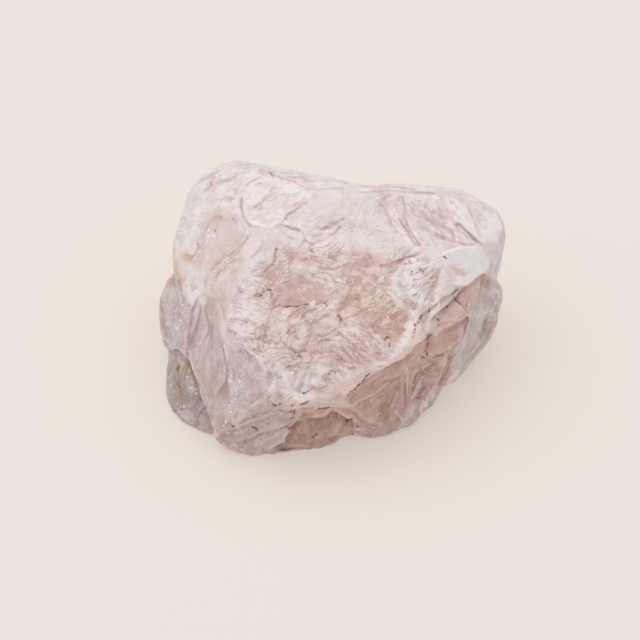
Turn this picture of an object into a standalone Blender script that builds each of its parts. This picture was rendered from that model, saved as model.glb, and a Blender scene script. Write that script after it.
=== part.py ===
"""Rough morganite: one broken piece of pale pink beryl, lying on its flattest break.

The stone is laid out in millimetres on its broad front, as a carver would block it out: across (to the
right), up the front, and out of it. Convex blocks are joined into the stone, shell-shaped breaks are cut
from it, and the surface is then chipped. BROAD_FRONT_TILT leans that front back, and the whole is set down
on its resting face, with the origin under the middle of the stone.
"""

import math

import bmesh
import bpy
import numpy as np
from mathutils import Matrix, Vector, kdtree, noise

MILLIMETRE = 0.001
BROAD_FRONT_TILT = math.radians(40)
RESTING_DEPTH = 9.6
GRAIN = 0.3
CHIPPED_FACES = 10800
STONE_COLOUR = (0.78, 0.60, 0.56, 1.0)
STONE_ROUGHNESS = 0.35
STONE_REFRACTION = 1.58

# Each block of the stone is the convex body of its corners: (across, up, out) in millimetres.
MAIN_BODY = (
    # left shoulder and top edge, from the left flank round to the middle
    (-15.6, 3.7, -4.3), (-15.7, 5.2, -4.5), (-15.8, 6.5, -4.5), (-15.0, 8.8, -5.0), (-14.8, 10.0, -5.2),
    (-14.3, 11.8, -5.5), (-13.5, 13.2, -5.5), (-12.3, 14.1, -5.5), (-11.1, 14.6, -5.5), (-9.6, 15.1, -5.5),
    (-7.8, 14.7, -5.0), (-4.8, 14.3, -4.5), (-3.0, 13.9, -4.2), (-1.2, 13.3, -4.0), (1.0, 12.8, -4.0),
    (4.0, 12.3, -5.0),
    # crest between the top rim and the broad front
    (-8.5, 13.2, -1.8), (-3.0, 12.7, -0.9), (1.0, 12.3, -0.5), (4.5, 12.0, -0.5),
    # left facets
    (-8.2, 7.8, 2.6), (-10.2, 2.5, 3.6), (-9.0, -3.5, 6.0), (-14.0, 2.0, -1.2), (-14.3, -3.5, 0.6),
    (-13.5, -6.4, 1.4), (-12.2, -9.2, 2.6), (-11.4, -12.2, 3.4),
    # lower lip of the broad front, from left to right
    (-6.8, -9.4, 7.3), (-3.0, -9.3, 8.1), (1.5, -8.5, 8.5), (5.0, -5.6, 8.3), (7.0, -4.8, 7.6),
    (9.0, -3.0, 6.7), (9.8, -1.8, 6.0), (11.0, 0.4, 4.8), (9.0, 6.2, 2.4),
    # underside, behind the ledges
    (-11.0, -12.0, 0.0), (-6.0, -12.5, 0.0), (2.0, -11.6, 0.0), (8.0, -8.4, 0.0), (11.0, -4.6, 0.0),
    # back
    (-13.6, 10.0, -11.4), (-14.8, 2.0, -11.9), (-9.0, 12.6, -12.3), (0.0, 12.0, -13.1), (6.0, 10.8, -13.1),
    (12.4, 3.0, -12.8), (-10.0, -0.8, -13.2), (8.0, -0.8, -13.2), (-3.0, 6.0, -15.2), (-11.0, -9.0, -1.6),
)
RIGHT_SHOULDER = (
    # top edge and right flank
    (2.5, 12.5, -4.6), (7.5, 12.7, -4.8), (10.0, 12.4, -5.0), (12.0, 12.3, -5.2), (13.2, 12.1, -5.5),
    (14.5, 11.4, -5.5), (15.7, 10.4, -5.5), (17.0, 9.9, -5.5), (17.6, 8.7, -5.2), (17.6, 7.3, -5.0),
    (17.3, 6.0, -4.8), (17.2, 4.8, -4.8), (16.7, 3.0, -4.8),
    # front facets
    (6.0, 11.2, -0.2), (9.0, 6.2, 2.3), (11.0, 6.0, 2.5), (15.0, 6.7, -0.2), (15.8, 4.8, -0.6),
    (15.5, 3.7, -0.2), (13.0, 2.3, 2.6), (10.7, 1.0, 4.3), (14.0, 11.0, -2.6),
    # back
    (12.8, 9.6, -12.2), (16.0, 4.0, -11.6), (2.0, 11.4, -13.1), (4.0, 2.0, -13.2),
)
RIGHT_LUMP = (
    (16.7, 2.9, -6.0), (17.5, 2.2, -6.5), (17.5, 1.2, -6.5), (17.1, 0.0, -6.5), (16.8, -1.5, -6.8),
    (16.1, -3.0, -7.0), (14.7, -4.0, -7.5), (14.0, -5.0, -7.5), (13.3, -6.4, -6.8), (12.7, -7.1, -5.8),
    (11.5, -7.8, -5.2),
    # up its front to the shoulder and the upper ledge
    (14.2, -0.9, -0.9), (12.3, -4.2, -0.4), (15.4, 0.8, -2.0), (13.2, 1.9, 1.2), (15.2, 3.3, -1.2),
    (16.4, 3.4, -4.4),
    # back
    (14.8, 3.0, -12.8), (14.4, -3.0, -11.0), (8.0, 0.0, -13.4), (8.0, -5.0, -6.0),
)
UPPER_LEDGE = (
    # tucked under the lip of the broad front
    (12.6, 1.6, 2.4), (11.2, 0.6, 3.6), (9.4, -2.0, 5.0), (7.0, -4.3, 6.2), (5.0, -5.2, 6.9),
    (1.5, -8.0, 7.2), (-3.0, -9.1, 6.9),
    # its own lip, from right to left
    (14.0, -0.8, 0.8), (13.6, -2.5, 0.6), (12.2, -4.1, 1.9), (10.0, -4.7, 4.1), (9.0, -4.9, 4.9),
    (7.5, -6.2, 5.6), (5.5, -7.3, 6.2), (4.5, -8.2, 6.4), (2.5, -9.3, 6.6), (0.0, -9.8, 6.6), (-3.0, -9.9, 6.6),
    # behind
    (-3.0, -11.4, 0.0), (12.0, 2.0, -4.0), (11.6, -6.4, -1.6), (4.0, -11.0, 0.0),
)
TOE = (
    (-11.4, -12.3, 3.4), (-6.8, -9.5, 7.0), (-3.2, -9.5, 7.6), (-3.0, -10.2, 6.6), (-4.0, -11.5, 5.0),
    (-4.7, -12.8, 3.8), (-5.6, -14.5, 2.8), (-7.5, -14.6, 2.6), (-9.8, -14.1, 2.2), (-11.5, -12.9, 2.0),
    (-10.0, -11.0, 0.0), (-4.0, -10.0, 0.0), (-6.2, -13.8, 1.5),
)
FOOT = (
    # lowest edge, from left to right
    (-5.6, -14.4, 2.4), (-4.5, -14.1, 2.1), (-3.3, -13.9, 2.1), (-2.0, -13.9, 2.0), (-0.2, -13.1, 1.6),
    (1.9, -12.9, 1.2), (4.8, -12.8, 1.0), (6.1, -12.5, 0.7), (7.2, -11.8, 0.4), (8.3, -11.3, -0.1),
    (9.1, -10.4, -0.5), (10.4, -9.5, -1.2), (11.1, -7.9, -1.8), (12.0, -6.0, -1.8), (12.2, -4.4, -0.6),
    # under the upper ledge
    (10.0, -4.2, 2.6), (7.5, -5.8, 4.2), (4.5, -7.8, 5.0), (2.5, -8.9, 5.3), (0.0, -9.5, 5.3),
    (-3.0, -10.2, 4.8), (-4.6, -11.6, 3.6),
    # behind
    (-4.0, -8.0, -4.0), (8.0, -4.0, -9.0), (-4.0, -4.0, -9.0),
)
UNDERSIDE = (
    # a little deeper than the resting face, which is cut from it
    (-10.5, -12.9, -1.0), (-8.0, -14.3, 0.4), (0.0, -13.2, -0.6), (7.5, -11.2, -3.0), (10.4, -8.1, -6.8),
    (12.4, -5.5, -9.8), (11.0, -2.3, -13.7), (-9.0, -2.0, -14.0), (-13.2, -5.5, -9.8), (-13.2, -10.0, -4.5),
    # inside the stone
    (-11.0, 6.0, -13.0), (11.0, 6.0, -13.0), (0.0, 0.0, -4.0),
)
UPPER_HEEL = (
    (-15.7, 3.6, -5.5), (-16.1, 3.3, -5.5), (-16.7, 2.3, -5.5), (-17.2, 1.3, -5.5), (-17.3, 0.2, -5.5),
    (-17.1, -1.5, -5.5), (-16.9, -3.3, -5.3), (-16.1, -4.0, -5.0), (-15.0, -4.5, -3.0),
    (-14.8, 1.0, -2.6), (-14.2, -4.4, -1.4),
    (-14.4, 3.0, -11.0), (-14.0, -3.0, -10.6), (-10.0, 0.0, -6.0),
)
LOWER_HEEL = (
    (-16.2, -4.0, -5.2), (-16.4, -7.0, -3.6), (-16.5, -9.3, -2.8), (-15.8, -10.5, -2.0), (-14.4, -11.7, -0.8),
    (-13.0, -12.2, -0.3), (-11.4, -12.9, 0.6),
    (-14.6, -4.2, -2.2), (-14.4, -6.0, -1.2), (-12.5, -9.0, 0.0), (-15.0, -9.0, -1.6),
    (-13.4, -2.6, -11.0), (-11.0, -9.0, -4.0), (-10.0, -5.0, -2.0),
)
BLOCKS = (
    MAIN_BODY, RIGHT_SHOULDER, RIGHT_LUMP, UPPER_LEDGE, TOE, FOOT, UNDERSIDE, UPPER_HEEL, LOWER_HEEL,
)

# Breaks struck from the front: (across, up), half width, half height, depth, turn and lean in degrees (a break
# leans in on its own lower side), and how much of the chipping it keeps (0 is glassy).
FRONT_BREAKS = (
    # upper right: hollows below the ridge of the right shoulder
    ((11.0, 8.6), 3.6, 1.9, 0.5, -28, 6, 0.4),
    ((14.8, 9.6), 2.4, 1.5, 0.35, -48, -5, 0.4),
    ((13.4, 4.7), 2.2, 1.7, 0.3, 12, 4, 0.1),
    ((10.7, 3.2), 0.9, 2.8, 0.25, -8, 0, 0.2),
    # shell-shaped scar and window facet of the upper left
    ((-5.2, 10.3), 2.2, 3.2, 0.45, -55, 8, 0.3),
    ((-10.0, 11.8), 1.8, 1.2, 0.3, 30, 6, 0.5),
    ((-10.4, 7.4), 3.0, 2.3, 0.4, 62, 4, 0.05),
    ((-12.6, 12.6), 1.6, 1.0, 0.25, 40, 5, 0.6),
    # windows of the broad front
    ((-2.8, 2.1), 3.4, 1.7, 0.3, 6, 6, 0.2),
    ((2.8, 3.2), 2.4, 1.7, 0.3, 30, -6, 0.3),
    ((-6.0, 3.4), 1.1, 1.6, 0.25, 0, 4, 0.3),
    ((2.6, -0.5), 1.7, 1.0, 0.22, -20, -4, 0.3),
    ((6.4, -1.6), 2.2, 1.5, 0.3, 52, 5, 0.1),
    ((-1.4, -4.1), 1.8, 0.9, 0.22, -12, 5, 0.6),
    ((1.0, 8.4), 3.2, 1.2, 0.22, -14, 5, 0.5),
    ((-1.6, 6.2), 2.0, 0.9, 0.2, 34, -5, 0.6),
    # long facets of the lower left, and the heels
    ((-9.3, -7.2), 2.6, 4.2, 0.45, 22, 4, 0.05),
    ((-12.5, -1.6), 1.2, 4.6, 0.4, 4, 0, 0.1),
    ((-14.8, -7.6), 1.2, 2.8, 0.4, 0, 0, 0.3),
    ((-15.6, -0.6), 1.2, 2.2, 0.4, 0, 0, 0.3),
    # ledges, foot and right lump
    ((9.6, -1.0), 0.9, 1.3, 0.4, 20, 0, 0.4),
    ((3.3, -6.8), 1.2, 0.8, 0.4, 40, 0, 0.4),
    ((12.2, -2.9), 1.5, 1.0, 0.3, -20, 6, 0.3),
    ((9.2, -7.6), 1.5, 2.6, 0.45, -30, 0, 0.2),
    ((5.4, -10.4), 1.2, 1.8, 0.35, -8, 0, 0.3),
    ((-2.2, -12.2), 2.4, 1.1, 0.45, 4, 6, 0.3),
    ((2.2, -12.5), 1.2, 0.8, 0.5, 0, 0, 0.5),
    ((-7.6, -12.4), 1.8, 0.8, 0.3, 20, 0, 0.4),
    ((15.6, -1.8), 1.1, 2.0, 0.35, -20, 0, 0.3),
)
# Breaks on the sides that the broad front turns away from.
BACK_BREAKS = 12
BACK_SEED = 3
EGG_ROUNDNESS = 3.0
# Hollows in the lower edge: middle (across, up, out) and radii.
EDGE_BITES = (
    ((2.3, -13.7, 0.8), (2.1, 1.3, 2.6)),
    ((-6.5, -14.9, 2.5), (0.8, 0.7, 2.0)),
    ((7.3, -12.4, 0.0), (0.6, 0.7, 2.5)),
)
# Where the stone is struck from: outside it on the front, and all round its middle on the back.
FRONT_START = 30
BACK_START = 40
STONE_MIDDLE = Vector((0, 1, -3))
BACK_HEADINGS = ((-1, 1), (-0.2, 1), (-1.2, -0.3))
BACK_HALF_WIDTH = (3.0, 5.5)
BACK_WIDTH_SHARE = (0.5, 0.8)
BACK_DEPTH = (0.2, 0.4)
BACK_LEAN = (12, 20)

# Chipping: tilted flakes, each scale with its size, its height and its seed.
FLAKES = (
    (2.8, 0.26, 11),
    (1.4, 0.15, 12),
)
FLAKE_SLOPE = 1.6
# Flakes meet along bent lines: how far these wander, and how wide the meeting is, as shares of a flake's size.
FLAKE_WANDER = 0.6
FLAKE_MEETING = 0.25
# Where the stone is most broken up: (across, up), half width, half height, turn in degrees.
ROUGH_PATCHES = (
    ((-0.5, 1.0), 9.0, 7.0, 0),
    ((-6.5, -4.5), 3.6, 5.2, -30),
    ((2.0, -4.5), 5.5, 3.2, 30),
    ((8.6, 3.2), 2.4, 3.6, 10),
)
LEAST_CHIPPED = 0.3
# Less chipping where the skin turns away from the front, so that the outline stays as laid out.
EDGE_CHIPPED = 0.4
# Rounding the grain off takes this much from the outline, so it is put back.
EDGE_SWELL = 0.15
EDGE_GAIN = 1.5
BACK_PATCH_SIZE = 6


def clear_scene():
    for thing in list(bpy.data.objects):
        bpy.data.objects.remove(thing)


def link(name, shape):
    """An object of this name from a bmesh, which it frees."""
    mesh = bpy.data.meshes.new(name)
    shape.to_mesh(mesh)
    shape.free()
    made = bpy.data.objects.new(name, mesh)
    bpy.context.scene.collection.objects.link(made)
    return made


def block(corners):
    """The convex body of some corners, as a mesh object in millimetres."""
    shape = bmesh.new()
    points = [shape.verts.new(corner) for corner in corners]
    bmesh.ops.convex_hull(shape, input=points)
    inner = [point for point in shape.verts if not point.link_faces]
    bmesh.ops.delete(shape, geom=inner, context="VERTS")
    bmesh.ops.recalc_face_normals(shape, faces=shape.faces)
    return link("block", shape)


def surface_point(stone, start, direction):
    """Where a straight line first meets the stone, and the stone's normal there."""
    hit, point, normal, _ = stone.ray_cast(Vector(start), Vector(direction))
    if not hit:
        raise ValueError(f"nothing to strike from {start}")
    return point, normal


def egg(point, normal, half_width, half_height, depth, turn, lean):
    """A smooth flat egg sunk into the surface at a point: the tool that leaves a shell-shaped break."""
    thickness = EGG_ROUNDNESS * depth
    spread = 1 / math.sqrt(1 - (1 - depth / thickness) ** 2)
    across = (Vector((1, 0, 0)) - normal * normal.x).normalized()
    axes = Matrix((across, normal.cross(across), normal)).transposed()
    place = Matrix.Translation(point) @ axes.to_4x4()
    place = place @ Matrix.Rotation(math.radians(turn), 4, "Z") @ Matrix.Rotation(math.radians(lean), 4, "X")
    place = place @ Matrix.Translation((0, 0, thickness - depth))
    radii = (half_width * spread, half_height * spread, thickness, 1)
    shape = bmesh.new()
    bmesh.ops.create_icosphere(shape, subdivisions=4, radius=1, matrix=place @ Matrix.Diagonal(radii))
    return link("egg", shape)


def strike_front(stone):
    for (across, up), half_width, half_height, depth, turn, lean, _ in FRONT_BREAKS:
        point, normal = surface_point(stone, (across, up, FRONT_START), (0, 0, -1))
        combine(stone, egg(point, normal, half_width, half_height, depth, turn, lean), "DIFFERENCE")


def strike_edges(stone):
    for middle, radii in EDGE_BITES:
        shape = bmesh.new()
        place = Matrix.Translation(middle) @ Matrix.Diagonal((*radii, 1))
        bmesh.ops.create_icosphere(shape, subdivisions=4, radius=1, matrix=place)
        combine(stone, link("bite", shape), "DIFFERENCE")


def strike_back(stone):
    """Breaks scattered over the back and the underside, the same each time."""
    dice = np.random.default_rng(BACK_SEED)
    for _ in range(BACK_BREAKS):
        heading = Vector([dice.uniform(*span) for span in BACK_HEADINGS]).normalized()
        point, normal = surface_point(stone, STONE_MIDDLE + heading * BACK_START, -heading)
        half_width = dice.uniform(*BACK_HALF_WIDTH)
        half_height = half_width * dice.uniform(*BACK_WIDTH_SHARE)
        depth = dice.uniform(*BACK_DEPTH)
        turn = dice.uniform(0, 360)
        lean = dice.uniform(*BACK_LEAN)
        combine(stone, egg(point, normal, half_width, half_height, depth, turn, lean), "DIFFERENCE")


def settle(thing):
    """Turns an object's modifiers into its mesh."""
    graph = bpy.context.evaluated_depsgraph_get()
    mesh = bpy.data.meshes.new_from_object(thing.evaluated_get(graph))
    thing.modifiers.clear()
    thing.data = mesh


def combine(thing, other, operation):
    """Joins another body to this one, or cuts it away, and removes it."""
    step = thing.modifiers.new(operation.lower(), "BOOLEAN")
    step.operation = operation
    step.object = other
    settle(thing)
    bpy.data.objects.remove(other)


def regrain(stone):
    """Gives the joined blocks one even skin of small faces, so that it can be chipped."""
    skin = stone.modifiers.new("skin", "REMESH")
    skin.mode = "VOXEL"
    skin.voxel_size = GRAIN
    settle(stone)


def flakes(points, size, height, seed):
    """Heights of broken flakes: the space is split into cells of about this size, each tilted its own way."""
    dice = np.random.default_rng(seed)
    noise.seed_set(seed)
    low, high = points.min(axis=0) - size, points.max(axis=0) + size
    count = int(np.prod((high - low) / size))
    seeds = dice.uniform(low, high, (count, 3))
    tilts = dice.normal(0, 1, (count, 3))
    tilts *= height / size / np.linalg.norm(tilts, axis=1)[:, None] * FLAKE_SLOPE
    lifts = dice.uniform(-0.5, 0.5, count) * height
    tree = kdtree.KDTree(count)
    for index, seed_point in enumerate(seeds):
        tree.insert(seed_point, index)
    tree.balance()
    heights = np.empty(len(points))
    for index, point in enumerate(points):
        bent = Vector(point) + noise.noise_vector(Vector(point) / (2 * size)) * size * FLAKE_WANDER
        (_, near, near_gap), (_, next_near, next_gap) = tree.find_n(bent, 2)
        share = min(1.0, (next_gap - near_gap) / (FLAKE_MEETING * size))
        share = 0.5 + 0.5 * share * share * (3 - 2 * share)
        own = lifts[near] + tilts[near] @ (bent - Vector(seeds[near]))
        other = lifts[next_near] + tilts[next_near] @ (bent - Vector(seeds[next_near]))
        heights[index] = share * own + (1 - share) * other
    return heights


def ellipse(points, centre, half_width, half_height, turn):
    """1 at an ellipse's middle, 0 at its edge and below 0 outside, seen from the front."""
    angle = math.radians(turn)
    aside, above = points[:, 0] - centre[0], points[:, 1] - centre[1]
    along = (aside * math.cos(angle) + above * math.sin(angle)) / half_width
    over = (above * math.cos(angle) - aside * math.sin(angle)) / half_height
    return 1 - along**2 - over**2


def roughness(points, normals):
    """How much of the chipping each point keeps: all of it in the rough patches, least in the glassy breaks."""
    front = normals[:, 2] > 0
    kept = np.full(len(points), LEAST_CHIPPED)
    for centre, half_width, half_height, turn in ROUGH_PATCHES:
        inside = np.clip(3 * ellipse(points, centre, half_width, half_height, turn), 0, 1) * front
        kept = np.maximum(kept, inside)
    for centre, half_width, half_height, _, turn, _, rough in FRONT_BREAKS:
        inside = np.clip(2 * ellipse(points, centre, half_width, half_height, turn), 0, 1) * front
        kept *= 1 - inside * (1 - rough)
    waves = np.array([noise.noise(Vector(point) / BACK_PATCH_SIZE) for point in points])
    kept = np.where(front, kept, LEAST_CHIPPED + (1 - LEAST_CHIPPED) * np.clip(2 * waves + 0.4, 0, 1))
    return kept * np.clip(EDGE_CHIPPED + EDGE_GAIN * np.abs(normals[:, 2]), 0, 1)


def chip(stone):
    """Breaks up the skin into tilted flakes."""
    mesh = stone.data
    points = np.empty(len(mesh.vertices) * 3)
    normals = np.empty(len(mesh.vertices) * 3)
    mesh.vertices.foreach_get("co", points)
    mesh.vertices.foreach_get("normal", normals)
    points, normals = points.reshape(-1, 3), normals.reshape(-1, 3)
    heights = sum(flakes(points, *flake) for flake in FLAKES) * roughness(points, normals)
    heights += EDGE_SWELL * (1 - np.abs(normals[:, 2]))
    points = points + normals * heights[:, None]
    mesh.vertices.foreach_set("co", points.ravel())
    mesh.update()


def thin_out(stone):
    """Keeps the faces that carry shape, so that flat breaks are few large faces."""
    fewer = stone.modifiers.new("fewer", "DECIMATE")
    fewer.ratio = CHIPPED_FACES / sum(len(face.vertices) - 2 for face in stone.data.polygons)
    fewer.use_collapse_triangulate = True
    settle(stone)


def drop_crumbs(shape):
    """Deletes whatever has come loose from the largest body."""
    bodies = []
    waiting = set(shape.verts)
    while waiting:
        rim = [waiting.pop()]
        body = list(rim)
        while rim:
            point = rim.pop()
            near = {edge.other_vert(point) for edge in point.link_edges} & waiting
            waiting -= near
            body += near
            rim += near
        bodies.append(body)
    bodies.sort(key=len)
    for body in bodies[:-1]:
        bmesh.ops.delete(shape, geom=body, context="VERTS")


def set_down(stone):
    """Turns the stone from its front's axes to upright, in metres, and gives it its flat resting face."""
    tilt = Matrix((
        (1, 0, 0),
        (0, math.sin(BROAD_FRONT_TILT), -math.cos(BROAD_FRONT_TILT)),
        (0, math.cos(BROAD_FRONT_TILT), math.sin(BROAD_FRONT_TILT)),
    )).to_4x4()
    stone.data.transform(Matrix.Translation((0, 0, RESTING_DEPTH)) @ tilt)
    shape = bmesh.new()
    shape.from_mesh(stone.data)
    cut = bmesh.ops.bisect_plane(shape, geom=[*shape.verts, *shape.edges, *shape.faces], dist=0.001,
                                 plane_co=(0, 0, 0), plane_no=(0, 0, 1), clear_inner=True)
    rim = [thing for thing in cut["geom_cut"] if isinstance(thing, bmesh.types.BMEdge)]
    base = bmesh.ops.holes_fill(shape, edges=rim)["faces"]
    bmesh.ops.triangulate(shape, faces=base)
    drop_crumbs(shape)
    shape.to_mesh(stone.data)
    shape.free()
    stone.data.transform(Matrix.Scale(MILLIMETRE, 4))


def centre(stone):
    """Moves the stone so that its middle, seen from above, is over the origin."""
    corners = np.array([point.co for point in stone.data.vertices])
    middle = (corners.min(axis=0) + corners.max(axis=0)) / 2
    shift = Vector((-middle[0], -middle[1], 0))
    stone.data.transform(Matrix.Translation(shift))


def beryl():
    """Pale pink beryl, glossy where it broke cleanly."""
    stuff = bpy.data.materials.new("pale pink beryl")
    stuff.use_nodes = True
    shader = stuff.node_tree.nodes["Principled BSDF"]
    shader.inputs["Base Color"].default_value = STONE_COLOUR
    shader.inputs["Roughness"].default_value = STONE_ROUGHNESS
    shader.inputs["IOR"].default_value = STONE_REFRACTION
    return stuff


def main():
    clear_scene()
    stone = block(BLOCKS[0])
    for corners in BLOCKS[1:]:
        combine(stone, block(corners), "UNION")
    strike_front(stone)
    strike_edges(stone)
    strike_back(stone)
    regrain(stone)
    chip(stone)
    thin_out(stone)
    set_down(stone)
    centre(stone)
    stone.name = stone.data.name = "morganite"
    stone.data.materials.clear()
    stone.data.materials.append(beryl())


main()
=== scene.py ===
"""Dresses the rough morganite: the hackle and glassy windows of its skin, its colours, and a plain stage.

The stone's forms are laid out on its broad front, the way a carver would mark them: a line or an outline is
a run of places, each across (to the right) and up the front, in tenths of a millimetre. Depths and edges are
in millimetres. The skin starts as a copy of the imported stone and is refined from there.
"""

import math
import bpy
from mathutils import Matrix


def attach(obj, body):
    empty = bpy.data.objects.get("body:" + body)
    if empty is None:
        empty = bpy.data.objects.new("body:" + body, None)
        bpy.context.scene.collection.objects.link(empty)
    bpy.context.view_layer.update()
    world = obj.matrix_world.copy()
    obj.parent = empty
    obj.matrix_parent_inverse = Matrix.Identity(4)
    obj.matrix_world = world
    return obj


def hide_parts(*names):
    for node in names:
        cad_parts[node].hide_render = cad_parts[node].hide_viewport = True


bl_info = {
    "name": "Rough Morganite",
    "version": (1, 0, 0),
    "blender": (4, 5, 0),
    "location": "View3D > Sidebar > Morganite",
    "description": "Builds the broken skin and the finish of a rough morganite stone, and its stage",
    "category": "Object",
}

import bmesh
import bpy
import numpy as np
from mathutils import Matrix, Vector, noise

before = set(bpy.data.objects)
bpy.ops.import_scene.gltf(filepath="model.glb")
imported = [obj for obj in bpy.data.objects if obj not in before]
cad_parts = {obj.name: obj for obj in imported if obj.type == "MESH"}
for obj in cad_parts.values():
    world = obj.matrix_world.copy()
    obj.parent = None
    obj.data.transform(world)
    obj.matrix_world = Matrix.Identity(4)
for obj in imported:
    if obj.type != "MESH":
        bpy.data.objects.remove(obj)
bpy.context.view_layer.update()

MILLIMETRE = 0.001
# The broad front leans back by this much. Its axes start from here, in millimetres over the resting face.
FRONT_LEAN = math.radians(40)
FRONT_START = (-0.272, -2.841, 9.6)
FRONT_TURN = math.pi / 2 - FRONT_LEAN
# What the lights point at.
STONE_MIDDLE = Vector((0, 0, 0.009))

# Breaks and patches whose outline serves more than once.
SAND_BREAK = (-109, 95, -83, 74, -87, 65, -127, 32, -139, 48, -135, 62, -127, 80, -123, 88, -118, 94)
LOWER_PATCH = (
    -59, -53, -62, -70, -67, -87, -59, -92, -49, -92, -2, -71, -25, -53, -37, -51, -49, -47, -56, -50,
)
SHELL_BREAK = (
    113, 57, 129, 63, 142, 64, 151, 63, 153, 58, 159, 50, 160, 44, 156, 37, 149, 35, 137, 24, 123, 27,
    121, 32, 123, 38, 119, 41, 112, 50,
)
SHOULDER_BREAK = (92, 99, 108, 99, 116, 95, 132, 75, 150, 67, 132, 65, 97, 75, 83, 80, 86, 88)
SHOULDER_RIDGE = (116, 111, 129, 91, 152, 67, 154, 70, 147, 80, 144, 91, 138, 102, 126, 112)

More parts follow.
